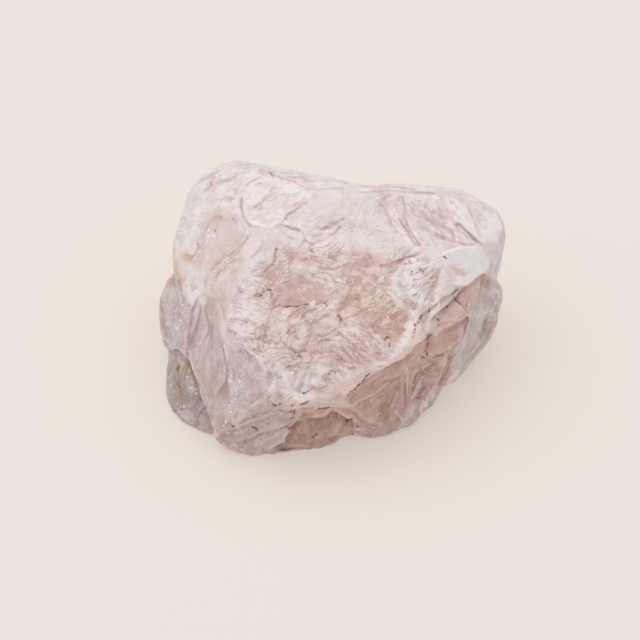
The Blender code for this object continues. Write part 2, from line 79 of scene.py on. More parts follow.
# Areas of one tone, later ones over earlier ones: tone, width of the soft edge, corners.
# The darker tones under the lips and on the foot (clay, umber, mauve, plum) are partly the stone's own
# colour and partly painted shade, and peach is painted lighter, as painted light.
REGIONS = (
    ("pale", 0.6, (-144, 10, -154, 34, -158, 52, -154, 85, -148, 105, -140, 125, -122, 142, -90, 152,
      -30, 142, 0, 132, 15, 122, -8, 118, -30, 106, -47, 93, -58, 82, -75, 84, -90, 94, -108, 103, -124, 96,
      -138, 58, -130, 48, -127, 25, -132, 5)),
    ("milk", 0.8, (0, 130, 110, 124, 140, 120, 170, 100, 177, 70, 170, 35, 150, 30, 110, 10, 95, -25,
      70, -50, 15, -88, -68, -94, -62, -75, -68, -52, -85, -35, -98, 10, -85, 48, -80, 72, -55, 84,
      -30, 104, -8, 118)),
    ("rose", 1.6, (-68, 48, -45, 60, -20, 48, 40, 58, 62, 48, 66, 20, 62, -8, 45, -25, 15, -22, 0, -2,
      -60, -4, -72, 10)),
    ("rose", 1.4, (-65, -2, 0, -2, 15, -22, 62, -12, 68, -35, 30, -62, -30, -55, -60, -40, -85, -20)),
    ("warm", 0.9, (5, 29, 20, 34, 45, 30, 68, 4, 82, 2, 74, -25, 58, -38, 15, -15, 8, 5)),
    ("sand", 0.7, SAND_BREAK),
    ("pale", 0.8, (-135, 110, -148, 77, -148, 66, -145, 58, -140, 55, -138, 56, -124, 95, -128, 107)),
    ("pale", 1.2, (-85, 114, -72, 122, -50, 126, -30, 125, -20, 122, -24, 112, -38, 102, -54, 84, -68, 84,
      -79, 88, -85, 98)),
    ("pale", 0.5, (-99, 90, -81, 78, -84, 74, -101, 88)),
    ("grey", 0.25, (-180, 40, -153, 32, -145, 7, -138, 4, -139, -20, -143, -36, -143, -48, -158, -40,
      -180, -40)),
    ("slate", 0.25, (-180, -40, -160, -40, -142, -50, -122, -92, -114, -123, -114, -135, -180, -135)),
    ("bark", 0.2, (-123, -97, -129, -103, -133, -111, -114, -127, -117, -105, -120, -100)),
    ("dusk", 0.5, (-137, 2, -133, 12, -124, 18, -114, 12, -110, -18, -105, -35, -98, -85, -94, -102,
      -94, -118, -108, -124, -114, -123, -119, -102, -143, -45, -143, -36, -139, -20)),
    ("lilac", 0.6, (-105, -35, -91, -42, -85, -36, -67, -51, -62, -60, -63, -77, -67, -86, -83, -99,
      -94, -114, -108, -124, -102, -110, -98, -90, -101, -66)),
    ("toe", 0.3, (-114, -124, -108, -124, -94, -118, -83, -100, -68, -91, -58, -93, -30, -95, -27, -99,
      -29, -105, -40, -117, -44, -130, -53, -136, -58, -144, -80, -150, -110, -140)),
    ("band", 0.4, (-68, -92, -40, -92, -12, -85, 14, -86, 17, -84, 22, -90, 24, -97, 0, -96, -21, -99,
      -45, -98)),
    ("lilac", 0.8, LOWER_PATCH),
    ("band", 0.5, (14, -86, 32, -70, 80, -44, 98, -23, 96, -15, 88, -20, 70, -40, 32, -62, 15, -70, 0, -80,
      -12, -85)),
    ("clay", 0.15, (14, -87, 45, -62, 71, -49, 80, -42, 86, -34, 95, -29, 99, -24, 105, -25, 98, -43,
      86, -53, 81, -61, 76, -66, 65, -72, 55, -80, 24, -97, 18, -92)),
    ("umber", 0.2, (-26, -109, -17, -109, -2, -106, 3, -103, 14, -107, 26, -116, 22, -124, 10, -130,
      -22, -142, -58, -146, -58, -142, -53, -136, -44, -130, -40, -117, -34, -111)),
    ("clay", 0.3, (-26, -99, 0, -96, 24, -97, 55, -82, 65, -90, 55, -105, 45, -115, 32, -118, 7, -103,
      0, -103, -10, -108, -26, -109, -29, -104)),
    ("mauve", 0.2, (55, -80, 65, -72, 76, -66, 81, -61, 86, -53, 92, -48, 114, -44, 127, -39, 117, -75,
      110, -84, 100, -102, 65, -126, 35, -130, 26, -122, 40, -116, 50, -102, 50, -86)),
    ("plum", 0.8, (78, -70, 95, -64, 91, -89, 82, -85)),
    ("ash", 0.5, (89, -89, 108, -75, 110, -79, 101, -95, 91, -105, 88, -98)),
    ("plum", 0.5, (116, -49, 122, -42, 120, -57, 113, -74, 109, -79)),
    ("toe", 0.8, (70, -110, 80, -95, 95, -85, 108, -88, 100, -102, 82, -116, 68, -122)),
    ("clay", 0.2, (99, -25, 105, -25, 117, -18, 132, -12, 141, -6, 137, -20, 123, -40, 114, -44, 103, -46,
      98, -43, 97, -34)),
    ("band", 0.3, (160, 38, 141, -6, 132, -12, 117, -18, 105, -25, 99, -24, 100, -8, 110, -1, 146, 31,
      155, 36)),
    ("grey", 0.3, (160, 40, 168, 48, 180, 48, 180, -70, 140, -70, 118, -82, 117, -75, 122, -60, 126, -40,
      137, -20, 143, 0, 150, 13)),
    ("haze", 0.5, (159, 44, 163, 60, 170, 75, 176, 75, 173, 48, 168, 28, 160, 35)),
    ("peach", 0.3, (125, -59, 132, -61, 132, -68, 120, -78, 110, -84, 117, -74)),
    ("frost", 0.4, SHELL_BREAK),
    ("milk", 0.6, SHOULDER_BREAK),
    ("frost", 0.5, SHOULDER_RIDGE),
    ("frost", 0.8, (140, 114, 155, 106, 168, 97, 175, 82, 170, 70, 154, 69, 148, 80, 144, 95, 136, 107)),
    ("milk", 0.5, (104, 56, 112, 51, 111, 41, 107, 33, 88, 7, 77, -20, 72, -15, 80, 5, 91, 15, 101, 35)),
    ("pale", 0.8, (70, 44, 90, 52, 104, 54, 100, 34, 90, 16, 78, 6, 66, 10, 62, 25)),
    ("haze", 0.4, (-148, 114, -132, 132, -98, 149, -50, 144, 10, 129, 70, 127, 130, 122, 148, 114, 10, 123,
      -30, 128, -75, 142, -98, 143, -122, 130, -134, 118, -142, 105)),
)

# Brown and orange stains.
STAINS = (
    (-157, 50, -152, 52, -153, 42, -150, 31, -156, 33, -161, 31),
    (-150, 57, -140, 55, -138, 50, -145, 47, -149, 52),
)

# Clean flat breaks: how flat, how far sunk, how clear, corners.
FACETS = (
    (0.8, 0.05, 0.35, SAND_BREAK),
    (0.8, 0, 0.3, (-103, -39, -91, -42, -85, -36, -67, -51, -62, -60, -63, -77, -67, -86, -83, -99,
      -94, -110, -100, -90, -102, -66)),
    (0.7, 0, 0.2, (-135, 5, -125, 14, -116, 10, -112, -16, -106, -35, -103, -51, -103, -70, -114, -85,
      -124, -75, -136, -58, -141, -40, -138, -20)),
    (0.8, 0, 0.2, SHELL_BREAK),
    (0.7, 0.04, 0.3, (101, -26, 132, -12, 141, -6, 137, -20, 123, -40, 114, -44, 103, -46, 98, -43)),
    (0.8, 0.1, 0.3, (-24, -110, -2, -108, 3, -105, 14, -108, 26, -117, 20, -124, -22, -139, -50, -142,
      -40, -130, -38, -118, -34, -112)),
    (0.3, 0.02, 0.3, SHOULDER_BREAK),
    (0.6, 0.05, 0.2, (15, -82, 25, -78, 45, -62, 71, -50, 88, -36, 98, -31, 97, -43, 90, -49, 81, -61,
      55, -80, 24, -95)),
    (0.35, 0, 0.3, (65, -78, 78, -68, 86, -56, 95, -49, 114, -47, 122, -42, 120, -60, 113, -75, 100, -95,
      82, -110, 68, -110, 60, -95)),
)

# Broad faces that keep their curve but lose their lumps: how much, width of the soft edge, corners.
LEVELS = (
    (0.8, 1.2, (-130, 126, -95, 144, -30, 138, 15, 122, 70, 124, 120, 120, 156, 104, 168, 85, 160, 67,
      125, 63, 102, 48, 98, 20, 85, 5, 75, -15, 65, -40, 30, -62, 15, -78, -12, -80, -45, -86, -62, -82,
      -62, -60, -75, -40, -90, -30, -102, -15, -116, 10, -138, 10, -147, 35, -140, 85)),
    (0.7, 0.8, (-135, 5, -125, 14, -116, 10, -112, -16, -106, -35, -103, -51, -103, -70, -98, -100,
      -108, -120, -116, -110, -124, -82, -136, -58, -141, -40, -138, -20)),
    (0.7, 0.8, (-102, -50, -68, -52, -64, -82, -100, -110)),
    (0.7, 0.8, (-108, -124, -68, -93, -30, -100, -40, -118, -55, -136, -80, -142, -102, -136)),
    (0.6, 0.8, (148, 10, 168, 20, 170, 0, 162, -28, 125, -62, 126, -40, 140, -20)),
    (0.6, 0.8, (60, -85, 82, -62, 100, -47, 123, -41, 117, -75, 100, -95, 80, -112, 55, -122, 35, -120,
      50, -102)),
    (0.6, 0.6, (-158, -47, -144, -52, -130, -80, -118, -118, -135, -110, -156, -95)),
    (0.6, 0.8, (-166, 10, -150, 18, -140, 0, -144, -35, -158, -35, -167, -20)),
    (0.6, 0.5, (110, -3, 155, 32, 148, 5, 130, -10, 110, -18)),
    (0.6, 0.6, (102, -30, 140, -10, 138, -22, 123, -40, 103, -45)),
    (0.6, 0.6, (-24, -114, 5, -108, 22, -120, -20, -136, -46, -140)),
)

# Glassy windows, where the deeper colour shows: their corners.
WINDOWS = (
    (-52, 50, -47, 49, -44, 45, -46, 39, -46, 32, -49, 28, -55, 22, -60, 22, -62, 28, -68, 36, -66, 39,
     -59, 42, -55, 47),
    (-30, 32, -33, 34, -54, 15, -58, 10, -59, 5, -56, 1, -42, 4, -33, 3, -23, 5, -14, 4, -8, 6, -2, 4, 5, 7,
     7, 12, 5, 18, 1, 23, -21, 32, -25, 31),
    (9, 32, 12, 36, 18, 39, 22, 35, 24, 40, 36, 39, 42, 41, 52, 48, 38, 52, 22, 49, 20, 45, 10, 36),
    (10, 31, 18, 35, 32, 33, 39, 30, 45, 23, 47, 18, 44, 13, 39, 12, 29, 19, 17, 19, 12, 26),
    (8, 2, 14, 4, 13, -1, 15, -7, 20, -11, 36, -18, 32, -21, 22, -19, 15, -15, 10, -8),
    (23, -7, 27, -3, 36, -3, 38, -7, 34, -11, 28, -11),
    (47, -8, 67, 0, 78, 2, 81, 1, 79, -8, 72, -23, 68, -30, 63, -35, 58, -36, 50, -20),
    (-19, -39, -13, -37, -6, -38, -3, -44, 4, -43, -5, -47, -13, -48, -23, -42),
    (-7, 77, -11, 81, 12, 90, 7, 84, -1, 78),
    (47, 48, 54, 45, 75, 54, 88, 56, 55, 37, 49, 41),
)

# Steps in the skin: how deep, how far the step reaches, and its line, with the lower side on its left.
LEDGES = (
    (0.45, 2.2, (160, 40, 146, 31, 132, 19, 126, 12, 96, -12)),
    (0.55, 2.4, (107, -16, 95, -29, 86, -34, 80, -42, 71, -49, 48, -61, 10, -88)),
    (0.3, 1.5, (98, -43, 86, -53, 81, -61, 76, -66, 65, -72, 55, -80, 24, -97, 0, -96, -21, -99)),
    (0.4, 2, (-26, -99, -29, -105, -40, -117, -44, -130, -53, -136, -58, -142)),
    (0.3, 1.5, (27, -117, 19, -110, 7, -103, 3, -103, -2, -106, -10, -108, -26, -109)),
    (0.25, 1.2, (159, 50, 160, 44, 156, 37, 149, 35, 137, 24, 129, 24, 123, 27)),
    (0.18, 1, (127, 21, 120, 16, 110, 13, 99, 1, 90, -4, 83, -17, 79, -32)),
    (0.15, 0.9, (-62, -2, -56, 1, -42, 4, -33, 3, -23, 5, -15, 4, -8, 6, -2, 4, 6, 6)),
    (0.2, 1.2, (141, -6, 132, -12, 117, -18, 105, -25)),
    (0.2, 1.2, (-134, 68, -138, 56, -140, 55, -146, 59)),
    (0.07, 0.8, (-116, 42, -86, 66, -82, 74)),
    (0.15, 1, (88, 56, 75, 54, 54, 45, 47, 48)),
    (0.16, 1.4, (67, 93, 81, 70, 86, 64, 92, 61)),
    (0.14, 1, (48, 112, 53, 103, 58, 93, 61, 84)),
    (0.22, 1.4, (152, 67, 131, 87, 124, 89)),
    (0.16, 1.2, (-69, 142, -52, 133, -41, 131, -30, 126, -9, 121, 8, 123, 15, 121)),
    (0.14, 0.9, (-27, 80, -41, 84, -52, 85, -57, 83)),
    (0.2, 1, (-75, 84, -79, 87, -86, 99, -87, 108, -86, 115)),
    (0.18, 1.2, (-23, 111, -41, 98, -51, 86)),
    (0.25, 1.5, (-112, -126, -122, -92, -143, -48)),
    (0.25, 1.2, (-142, -50, -150, -44, -154, -39, -160, -40)),
    (0.18, 1.2, (-27, -48, -33, -42, -41, -35, -47, -30)),
)

# Painted highlights along light crests, by an amount above 0, and painted shade in dark folds, by one below
# 0: their lines.
STROKES = {
    1: (
        (-46, 125, -31, 124), (-27, 125, -10, 121), (28, 120, 41, 119),
        (161, 48, 160, 42, 154, 38, 147, 35, 136, 23),
    ),
    0.9: (
        (-99, 119, -97, 114, -91, 113), (-81, 117, -85, 113, -87, 104, -85, 97, -81, 89, -74, 85, -64, 84),
        (-134, 74, -138, 56), (60, 99, 69, 93), (118, 91, 127, 75),
        (125, 39, 123, 36, 122, 31, 127, 25, 135, 23), (93, -90, 91, -103), (-105, -34, -101, -51),
        (-118, -108, -116, -117, -114, -123, -110, -125),
    ),
    0.8: (
        (58, 102, 60, 97, 69, 89), (103, 6, 114, 14, 131, 21), (165, 21, 170, 19, 172, 15, 171, 10),
        (95, -66, 82, -91), (-86, -36, -67, -49, -61, -50), (-130, 13, -127, 5, -123, 10),
    ),
    0.7: (
        (-117, 117, -112, 120, -108, 124, -96, 129), (-89, 126, -86, 132, -80, 137, -72, 140),
        (-52, 136, -46, 137, -33, 136, -31, 133), (-81, 107, -75, 109, -65, 119, -60, 120),
        (-98, 41, -113, 25), (77, 103, 79, 97, 84, 93, 88, 92, 86, 88), (148, -7, 163, 0, 168, 0),
        (65, -100, 73, -110, 76, -109, 78, -105),
        (-60, -140, -56, -135, -45, -130, -46, -127, -30, -109, -26, -102),
    ),
    0.6: (
        (-85, 119, -80, 124, -72, 128, -64, 130), (-22, 128, 2, 128, 13, 125),
        (-55, 86, -49, 89, -46, 95, -41, 99, -23, 108), (75, 125, 108, 122), (62, 32, 69, 39, 79, 47),
        (81, -61, 78, -80, 78, -86), (59, -53, 73, -47, 93, -28), (-133, 3, -133, -7, -136, -17),
        (-109, 1, -104, -29), (-142, -46, -138, -53, -136, -62, -132, -69, -127, -75),
        (-134, -71, -129, -76, -121, -94, -119, -103),
    ),
    0.5: (
        (-134, 123, -117, 135, -99, 143), (116, 42, 113, 32, 102, 10), (99, -7, 121, 10),
        (98, -76, 105, -86, 101, -91), (-30, -110, -4, -105, 5, -101, 11, -103),
        (-18, -97, 1, -95, 21, -97), (-102, -120, -81, -111, -74, -106),
        (-79, -126, -67, -119, -58, -116, -49, -111), (-74, -138, -68, -132, -46, -120),
        (-125, -18, -129, -34, -135, -32),
    ),
    0.4: (
        (22, -95, 45, -86, 56, -76), (-123, -67, -121, -55, -123, -45),
    ),
    -0.4: (
        (164, 53, 152, 15),
    ),
    -0.45: (
        (-52, 139, -42, 138, -31, 135, -20, 129, -12, 128), (26, 124, 69, 124, 92, 120),
        (148, -13, 146, -21, 150, -23, 155, -28), (-100, -123, -99, -120, -92, -120, -75, -110),
    ),
    -0.5: (
        (-128, 119, -107, 132), (-58, 83, -52, 85, -44, 85, -29, 81), (-94, 52, -117, 31),
        (138, 106, 151, 71), (173, 60, 167, 34), (101, -20, 116, -13, 122, -12, 131, -14, 142, -7),
        (171, 8, 165, -7, 165, -14), (165, -14, 162, -23, 156, -34, 142, -48, 135, -59),
        (1, -96, 22, -104, 38, -118), (-52, -99, -42, -101, -33, -98, -13, -97),
        (-91, -113, -71, -103, -62, -101, -56, -97), (-89, -119, -50, -102),
        (-111, -126, -102, -121, -86, -118),
        (-58, -143, -52, -144, -44, -140, -33, -139, -15, -140, -7, -136), (-170, 6, -166, -31),
        (-161, -95, -155, -103, -142, -115, -134, -118),
    ),
    -0.55: (
        (-135, 127, -119, 138, -110, 142), (-123, 120, -117, 121, -109, 128, -91, 136),
        (-80, 50, -69, 61, -67, 67, -70, 70), (20, 121, 32, 118, 59, 120, 108, 117, 114, 115),
        (-153, 31, -150, 24, -147, 8),
    ),
    -0.6: (
        (-86, 123, -81, 128, -68, 134), (-60, 138, -48, 132, -36, 129, -31, 125, -12, 120, 4, 123, 20, 121),
        (-80, 102, -74, 103, -63, 113, -57, 116), (-20, 77, -16, 73, -6, 76), (-85, 64, -107, 44),
        (-55, 60, -55, 52, -58, 45, -68, 35), (46, 112, 53, 102, 61, 86, 66, 79, 73, 75),
        (119, 94, 124, 87, 140, 71), (97, 76, 125, 68, 137, 66, 149, 66),
        (100, 0, 111, 12, 118, 15, 127, 16), (121, -41, 121, -50, 119, -59, 111, -76), (77, -66, 76, -99),
        (10, -99, 22, -102, 38, -115, 52, -117), (-92, -135, -84, -130, -76, -128, -70, -124, -37, -114),
        (-130, 6, -129, -1, -135, -24), (-106, -36, -101, -64),
        (-150, -52, -143, -52, -139, -67, -134, -76), (-133, -108, -129, -101, -124, -97, -122, -99),
    ),
    -0.65: (
        (59, 103, 61, 98, 71, 88, 80, 73, 84, 65, 88, 62),
        (-96, -11, -91, -8, -86, -11, -79, -12, -72, -17),
    ),
    -0.7: (
        (156, 35, 134, 17), (113, 1, 135, 20), (136, 23, 125, 11, 108, -4),
        (142, -7, 137, -21, 131, -32, 122, -40, 113, -45, 103, -46), (119, -45, 119, -53, 110, -77),
        (56, -56, 76, -47, 89, -33), (25, -97, 45, -89, 65, -71, 76, -66),
        (-29, -111, -5, -107, 3, -102, 14, -109, 32, -117), (-102, -20, -93, -23, -96, -26),
        (-130, -76, -122, -93, -115, -120), (-77, 83, -70, 84), (-56, 84, -49, 86, -28, 79),
        (-14, 84, -8, 79), (-3, 75, 4, 76, 11, 84), (-44, 74, -40, 72, -35, 71),
        (-32, 61, -25, 70, -20, 66, -15, 65), (-25, 70, -27, 76, -28, 79), (-20, 62, -17, 57),
        (-32, 47, -27, 50, -21, 51), (-13, 43, 4, 40, 22, 48), (-79, 51, -75, 55, -69, 61, -67, 66),
        (-74, 43, -70, 47, -64, 47), (-80, 37, -72, 40), (-52, 65, -55, 53, -54, 49, -59, 43, -66, 39),
        (-20, -14, -10, -9, -2, -4), (-17, -23, -8, -26, 2, -22, 7, -19), (-35, -26, -30, -30),
        (7, -21, 12, -25, 18, -30, 25, -36), (-33, -42, -25, -40, -21, -42),
        (-41, -35, -27, -48, -29, -52, -37, -57, -44, -56, -51, -50), (5, -43, 12, -48, 18, -53),
        (-10, -53, -4, -54, 2, -54), (-3, -59, 4, -60, 12, -61, 17, -65), (17, -58, 25, -57),
        (-6, -68, 2, -69), (-84, -7, -79, -10, -71, -16), (-80, -23, -72, -25),
        (-67, -31, -61, -33, -58, -31), (-83, -26, -75, -31), (8, -3, 12, -10, 18, -19),
        (52, -74, 58, -72, 66, -70), (35, -20, 42, -28, 50, -34), (22, -24, 30, -30, 38, -40),
        (26, -42, 34, -48, 42, -52), (-30, -8, -22, -2, -12, 2), (-44, -12, -38, -4),
        (-12, -32, -4, -29, 4, -30), (8, -35, 16, -42, 22, -50),
    ),
    -0.75: (
        (-33, 60, -25, 69, -14, 64), (66, 117, 72, 113, 75, 104, 74, 94, 80, 79, 92, 61),
        (125, 88, 131, 86, 138, 80, 154, 63), (-131, 14, -137, 1, -143, -41, -142, -50),
    ),
    -0.8: (
        (-80, 75, -84, 69, -89, 63, -103, 52),
        (-57, -142, -58, -139, -55, -136, -43, -131, -44, -128, -39, -120, -33, -113, -29, -111),
        (-161, -40, -153, -41, -143, -50, -140, -56, -138, -63, -129, -77, -124, -87),
    ),
    -0.9: (
        (90, -64, 84, -81), (96, -76, 87, -89),
    ),
}

# Broader ones: amount, half width, line.
BROAD_STROKES = (
    (-0.45, 2.6, (-88, 116, -90, 107, -89, 99, -85, 90, -75, 81)),
    (0.8, 2.8, (-46, 124, -41, 116)),
    (0.6, 2.2, (-29, 115, -22, 116, -21, 112)),
    (-0.65, 2.4, (-9, 80, 10, 89, 16, 94)),
    (0.7, 2.2, (-128, 42, -126, 35, -129, 31)),
    (0.5, 2.6, (-133, 104, -135, 89, -142, 65)),
    (0.8, 3.4, (74, 73, 79, 68, 82, 64)),
    (-0.5, 3.2, (92, 97, 97, 92, 114, 83, 129, 71)),
    (-0.45, 3, (86, 84, 108, 75, 129, 70)),
    (1, 2, (125, 97, 127, 91, 150, 71)),
    (1, 2.2, (129, 92, 142, 81, 147, 75)),
    (0.6, 2, (143, 107, 150, 103, 155, 97)),
    (1, 3.4, (101, 115, 110, 111)),
    (-0.5, 2.4, (90, 57, 75, 53, 69, 48, 56, 42)),
    (-0.55, 2.2, (111, 45, 105, 28, 90, 2)),
    (0.45, 2.2, (142, -15, 139, -24, 135, -33)),
    (0.9, 2.2, (92, -90, 97, -96, 100, -95)),
    (0.5, 2.6, (85, -95, 81, -106)),
    (-0.5, 3, (102, -55, 108, -57, 110, -63)),
    (-0.5, 2.6, (17, -110, 14, -118, 8, -126, -2, -132)),
    (-0.6, 2, (-122, 6, -124, -1, -121, -13, -121, -22, -125, -32)),
    (-0.65, 3.2, (-118, -13, -117, -31, -118, -41)),
    (-0.5, 2, (-96, -58, -94, -63, -96, -67, -93, -71)),
    (-0.5, 2.2, (-85, -39, -75, -47)),
    (0.5, 2.2, (-157, -13, -155, -19, -150, -24)),
    (0.7, 2.8, (-142, 36, -143, 28, -139, 14)),
    (0.9, 2.2, (-97, -5, -101, -7, -99, -9)),
)

# Brown earth caught in cracks.
DIRT = (
    (-50, 4, -33, 3, -28, 5, -21, 5), (-7, 7, -2, 4), (7, -6, 11, -10), (-54, 61, -55, 53),
    (-63, 22, -59, 19), (-71, 12, -65, 18), (55, -33, 54, -28, 58, -26, 59, -31, 58, -36), (79, 48, 81, 46),
    (89, 41, 92, 38), (81, 38, 81, 35), (127, 21, 123, 17), (123, 12, 129, 7, 131, 5), (113, 1, 117, 4),
    (96, -4, 100, 2), (91, -6, 84, -15, 83, -22), (103, -6, 107, -10), (94, -30, 100, -24),
    (97, -25, 97, -35, 94, -40, 98, -45, 90, -47), (103, -47, 114, -44), (48, -56, 52, -54),
    (25, -78, 34, -68, 39, -63), (17, -84, 24, -79), (-28, -83, -22, -80), (-59, -92, -53, -94, -49, -92),
    (-37, -91, -37, -94), (-28, -93, -21, -90), (-39, -101, -34, -100, -39, -108), (-41, -117, -35, -116),
    (-3, -106, 1, -102, 7, -103, 5, -107), (16, -111, 21, -108, 22, -111), (26, -115, 29, -117),
    (21, -121, 23, -124), (-17, -127, -12, -122), (-12, -98, 0, -96), (-99, 92, -96, 91),
    (-116, 81, -115, 79), (-60, 138, -58, 136), (117, -87, 121, -83), (-98, -114, -95, -116),
    (-77, -116, -71, -119), (-152, -56, -153, -61), (-153, -72, -151, -78), (114, 53, 116, 51),
)

# Yellowish mineral veins.
VEINS = (
    (-153, -54, -152, -74, -150, -78, -148, -98, -151, -104), (-144, -50, -142, -56, -143, -62),
)

# Fine streaks, by the way they run: how strong, corners.
STREAKS = {
    "steep": (
        (0.7, (-135, 8, -125, 16, -114, 12, -110, -18, -102, -51, -94, -118, -110, -124, -126, -84,
          -140, -56, -143, -36)),
        (0.9, (55, -82, 76, -66, 86, -53, 103, -46, 127, -39, 117, -75, 100, -102, 65, -126, 35, -130,
          50, -102)),
        (0.7, (100, 10, 138, 22, 100, -9, 107, -16, 86, -34, 78, -35, 83, -15, 90, -2)),
        (0.25, (160, 40, 168, 48, 180, 48, 180, -70, 140, -70, 126, -40, 150, 13)),
        (0.25, (-180, 40, -153, 32, -138, 4, -143, -48, -131, -74, -114, -123, -114, -135, -180, -135)),
    ),
    "slant": (
        (0.8, (-114, -124, -94, -118, -68, -91, -27, -99, -35, -111, -44, -130, -58, -144, -80, -150,
          -110, -140)),
        (0.8, (-100, -39, -85, -36, -67, -51, -62, -60, -63, -77, -98, -114, -101, -66)),
        (0.8, (47, -8, 67, 0, 81, 1, 75, -16, 63, -35, 54, -30)),
        (0.9, (-66, -42, -39, -16, -30, -12, -34, -22, -58, -46)),
        (0.8, (-132, 25, -118, 42, -94, 60, -83, 70, -87, 54, -118, 18, -127, 10)),
        (0.7, (15, -82, 35, -68, 71, -48, 99, -24, 105, -25, 92, -48, 65, -72, 43, -87, 24, -97)),
        (0.6, (-140, 105, -115, 138, -68, 144, -30, 128, -30, 105, -50, 86, -85, 95, -115, 110)),
    ),
    "fall": (
        (1, (42, 120, 70, 122, 110, 120, 130, 112, 152, 67, 91, 61, 70, 75, 55, 90)),
    ),
    "level": (
        (1, (-134, 130, -90, 152, 55, 130, 130, 124, 150, 112, 110, 117, 0, 120, -75, 138, -115, 120)),
    ),
}

# White, frosted breaks: how strong, corners.
FROST = (
    (0.8, (-135, 110, -148, 77, -148, 66, -145, 58, -140, 55, -124, 95, -128, 107)),
    (0.6, LOWER_PATCH),
    (0.75, (-85, 114, -72, 122, -50, 126, -30, 126, -18, 122, -24, 112, -38, 102, -54, 84, -68, 84, -79, 88,
      -85, 98)),
    (0.6, (-130, 128, -115, 140, -90, 146, -68, 142, -54, 132, -84, 116, -92, 104, -105, 110, -120, 114)),
    (0.4, (66, 48, 90, 54, 104, 56, 102, 34, 90, 16, 78, 6, 64, 10, 58, 25)),
    (0.7, (99, 118, 110, 116, 112, 107, 103, 108, 100, 112)),
    (0.7, SHOULDER_RIDGE),
    (0.6, (-100, 10, -80, 18, -62, -4, -68, -30, -85, -28, -102, -15)),
    (0.2, (0, -2, 42, -35, 32, -56, 0, -68, -18, -50, -50, -42, -40, -20)),
    (0.8, (65, 87, 75, 78, 90, 58, 78, 60, 66, 74)),
    (0.6, (90, -88, 104, -82, 108, -88, 98, -100, 90, -100)),
    (0.6, (-142, 40, -127, 30, -118, 10, -134, 4, -144, 10, -147, 25)),
    (0.6, (-87, 72, -78, 76, -68, 64, -80, 52, -90, 58)),
)

# Which way the thin steps run: 1 down to the right, -1 up to the right, corners.
LEANS = (
    (1, (10, -4, 70, -18, 72, -40, 44, -66, 6, -76, 1, -50)),
    (-1, (-72, -8, -30, 0, 9, -5, 1, -50, -2, -76, -30, -72, -62, -46)),
    (-1, (-40, 95, 22, 105, 30, 70, -30, 46, -60, 50)),
    (1, (68, 122, 140, 120, 162, 100, 154, 67, 90, 60, 62, 85)),
    (-1, (-130, 130, -68, 146, -20, 130, -30, 105, -90, 80, -125, 75)),
)

# Painted glints, white highlight specks in the colour: middle, half width, half height, turn in degrees,
# amount.
SPARKLES = (
    (-150, -8, 8, 22, 0, 1),
    (-143, -85, 10, 36, -10, 0.7),
    (-92, -62, 10, 14, -30, 1),
    (-96, -88, 8, 22, -15, 1),
    (-102, -115, 8, 10, 0, 0.7),
    (-120, 65, 12, 26, -25, 0.8),
    (-105, 40, 22, 10, 40, 0.7),
    (-127, 55, 8, 30, 10, 0.7),
    (10, 20, 40, 16, 0, 0.5),
    (85, -65, 14, 20, 30, 0.7),
    (50, 20, 30, 40, 0, 0.4),
    (150, -10, 18, 30, 0, 0.5),
    (-30, -60, 40, 25, 0, 0.35),
    (-70, 10, 20, 30, 0, 0.5),
)

# Where the skin is most broken up: middle, half width, half height, turn in degrees, amount.
ROUGH_PATCHES = (
    (0, 4, 88, 68, -20, 1),
    (-68, -2, 36, 50, -20, 0.9),
    (-30, -40, 62, 52, 10, 1),
    (80, 30, 30, 38, 20, 0.9),
    (-60, 110, 46, 32, -10, 0.5),
    (-105, 125, 40, 26, -30, 0.5),
    (120, 95, 54, 36, 20, 0.4),
    (-45, -75, 34, 24, 0, 0.8),
    (-155, -10, 24, 54, 0, 0.75),
    (-140, -85, 22, 60, 20, 0.6),
    (155, -15, 30, 56, 0, 0.7),
    (120, -80, 40, 50, 30, 0.7),
    (-90, -130, 44, 22, 0, 0.65),
    (-10, -125, 60, 20, 0, 0.6),
    (-140, 85, 20, 60, 10, 0.45),
    (50, 95, 60, 30, 0, 0.3),
)

# How rough the skin is at least, and at most away from the front.
LEAST_ROUGH, MOST_ROUGH = 0.24, 0.8
# A thin stroke reaches this many tenths of a millimetre to each side. At an amount of 1 a crest rises, and a
# fold sinks, by this many millimetres.
STROKE_REACH = 1.9
STROKE_HEIGHT = 0.03
# The upper side of a fold gets a painted highlight of this share of the fold's amount.
LIP = 0.5
# Thin steps: the gap between them in millimetres, how far they wave and how ragged they are. They run this
# many degrees up or down from across the front, and the windows are drawn out along a turn of their own.
BROAD_STEPS = (0.54, 4.6, 1.2)
FINE_STEPS = (0.28, 4.6, 1.2)
STEP_TURN = 34
WINDOW_TURN = 28
# How many times the broad curve of the front is averaged out.
CALMING = 160
# How far a glassy window is sunk, and how far a broad face or a clean break moves at most, in millimetres.
WINDOW_DEPTH = 0.05
MOST_CALMED, MOST_LEVELLED = 0.8, 0.4
# Ledges deeper than this get a crack along their foot, grooved and darkened brownish pink with painted
# shade.
CRACKED = 0.25
# How far earth and ochre reach to each side of their lines, in millimetres.
EARTH_REACH, OCHRE_REACH = 0.3, 0.6


def linear(red, green, blue):
    """A colour given as 0 to 255 screen values, as the light it stands for."""
    def one(value):
        value /= 255
        return value / 12.92 if value <= 0.04045 else ((value + 0.055) / 1.055) ** 2.4
    return (one(red), one(green), one(blue), 1.0)


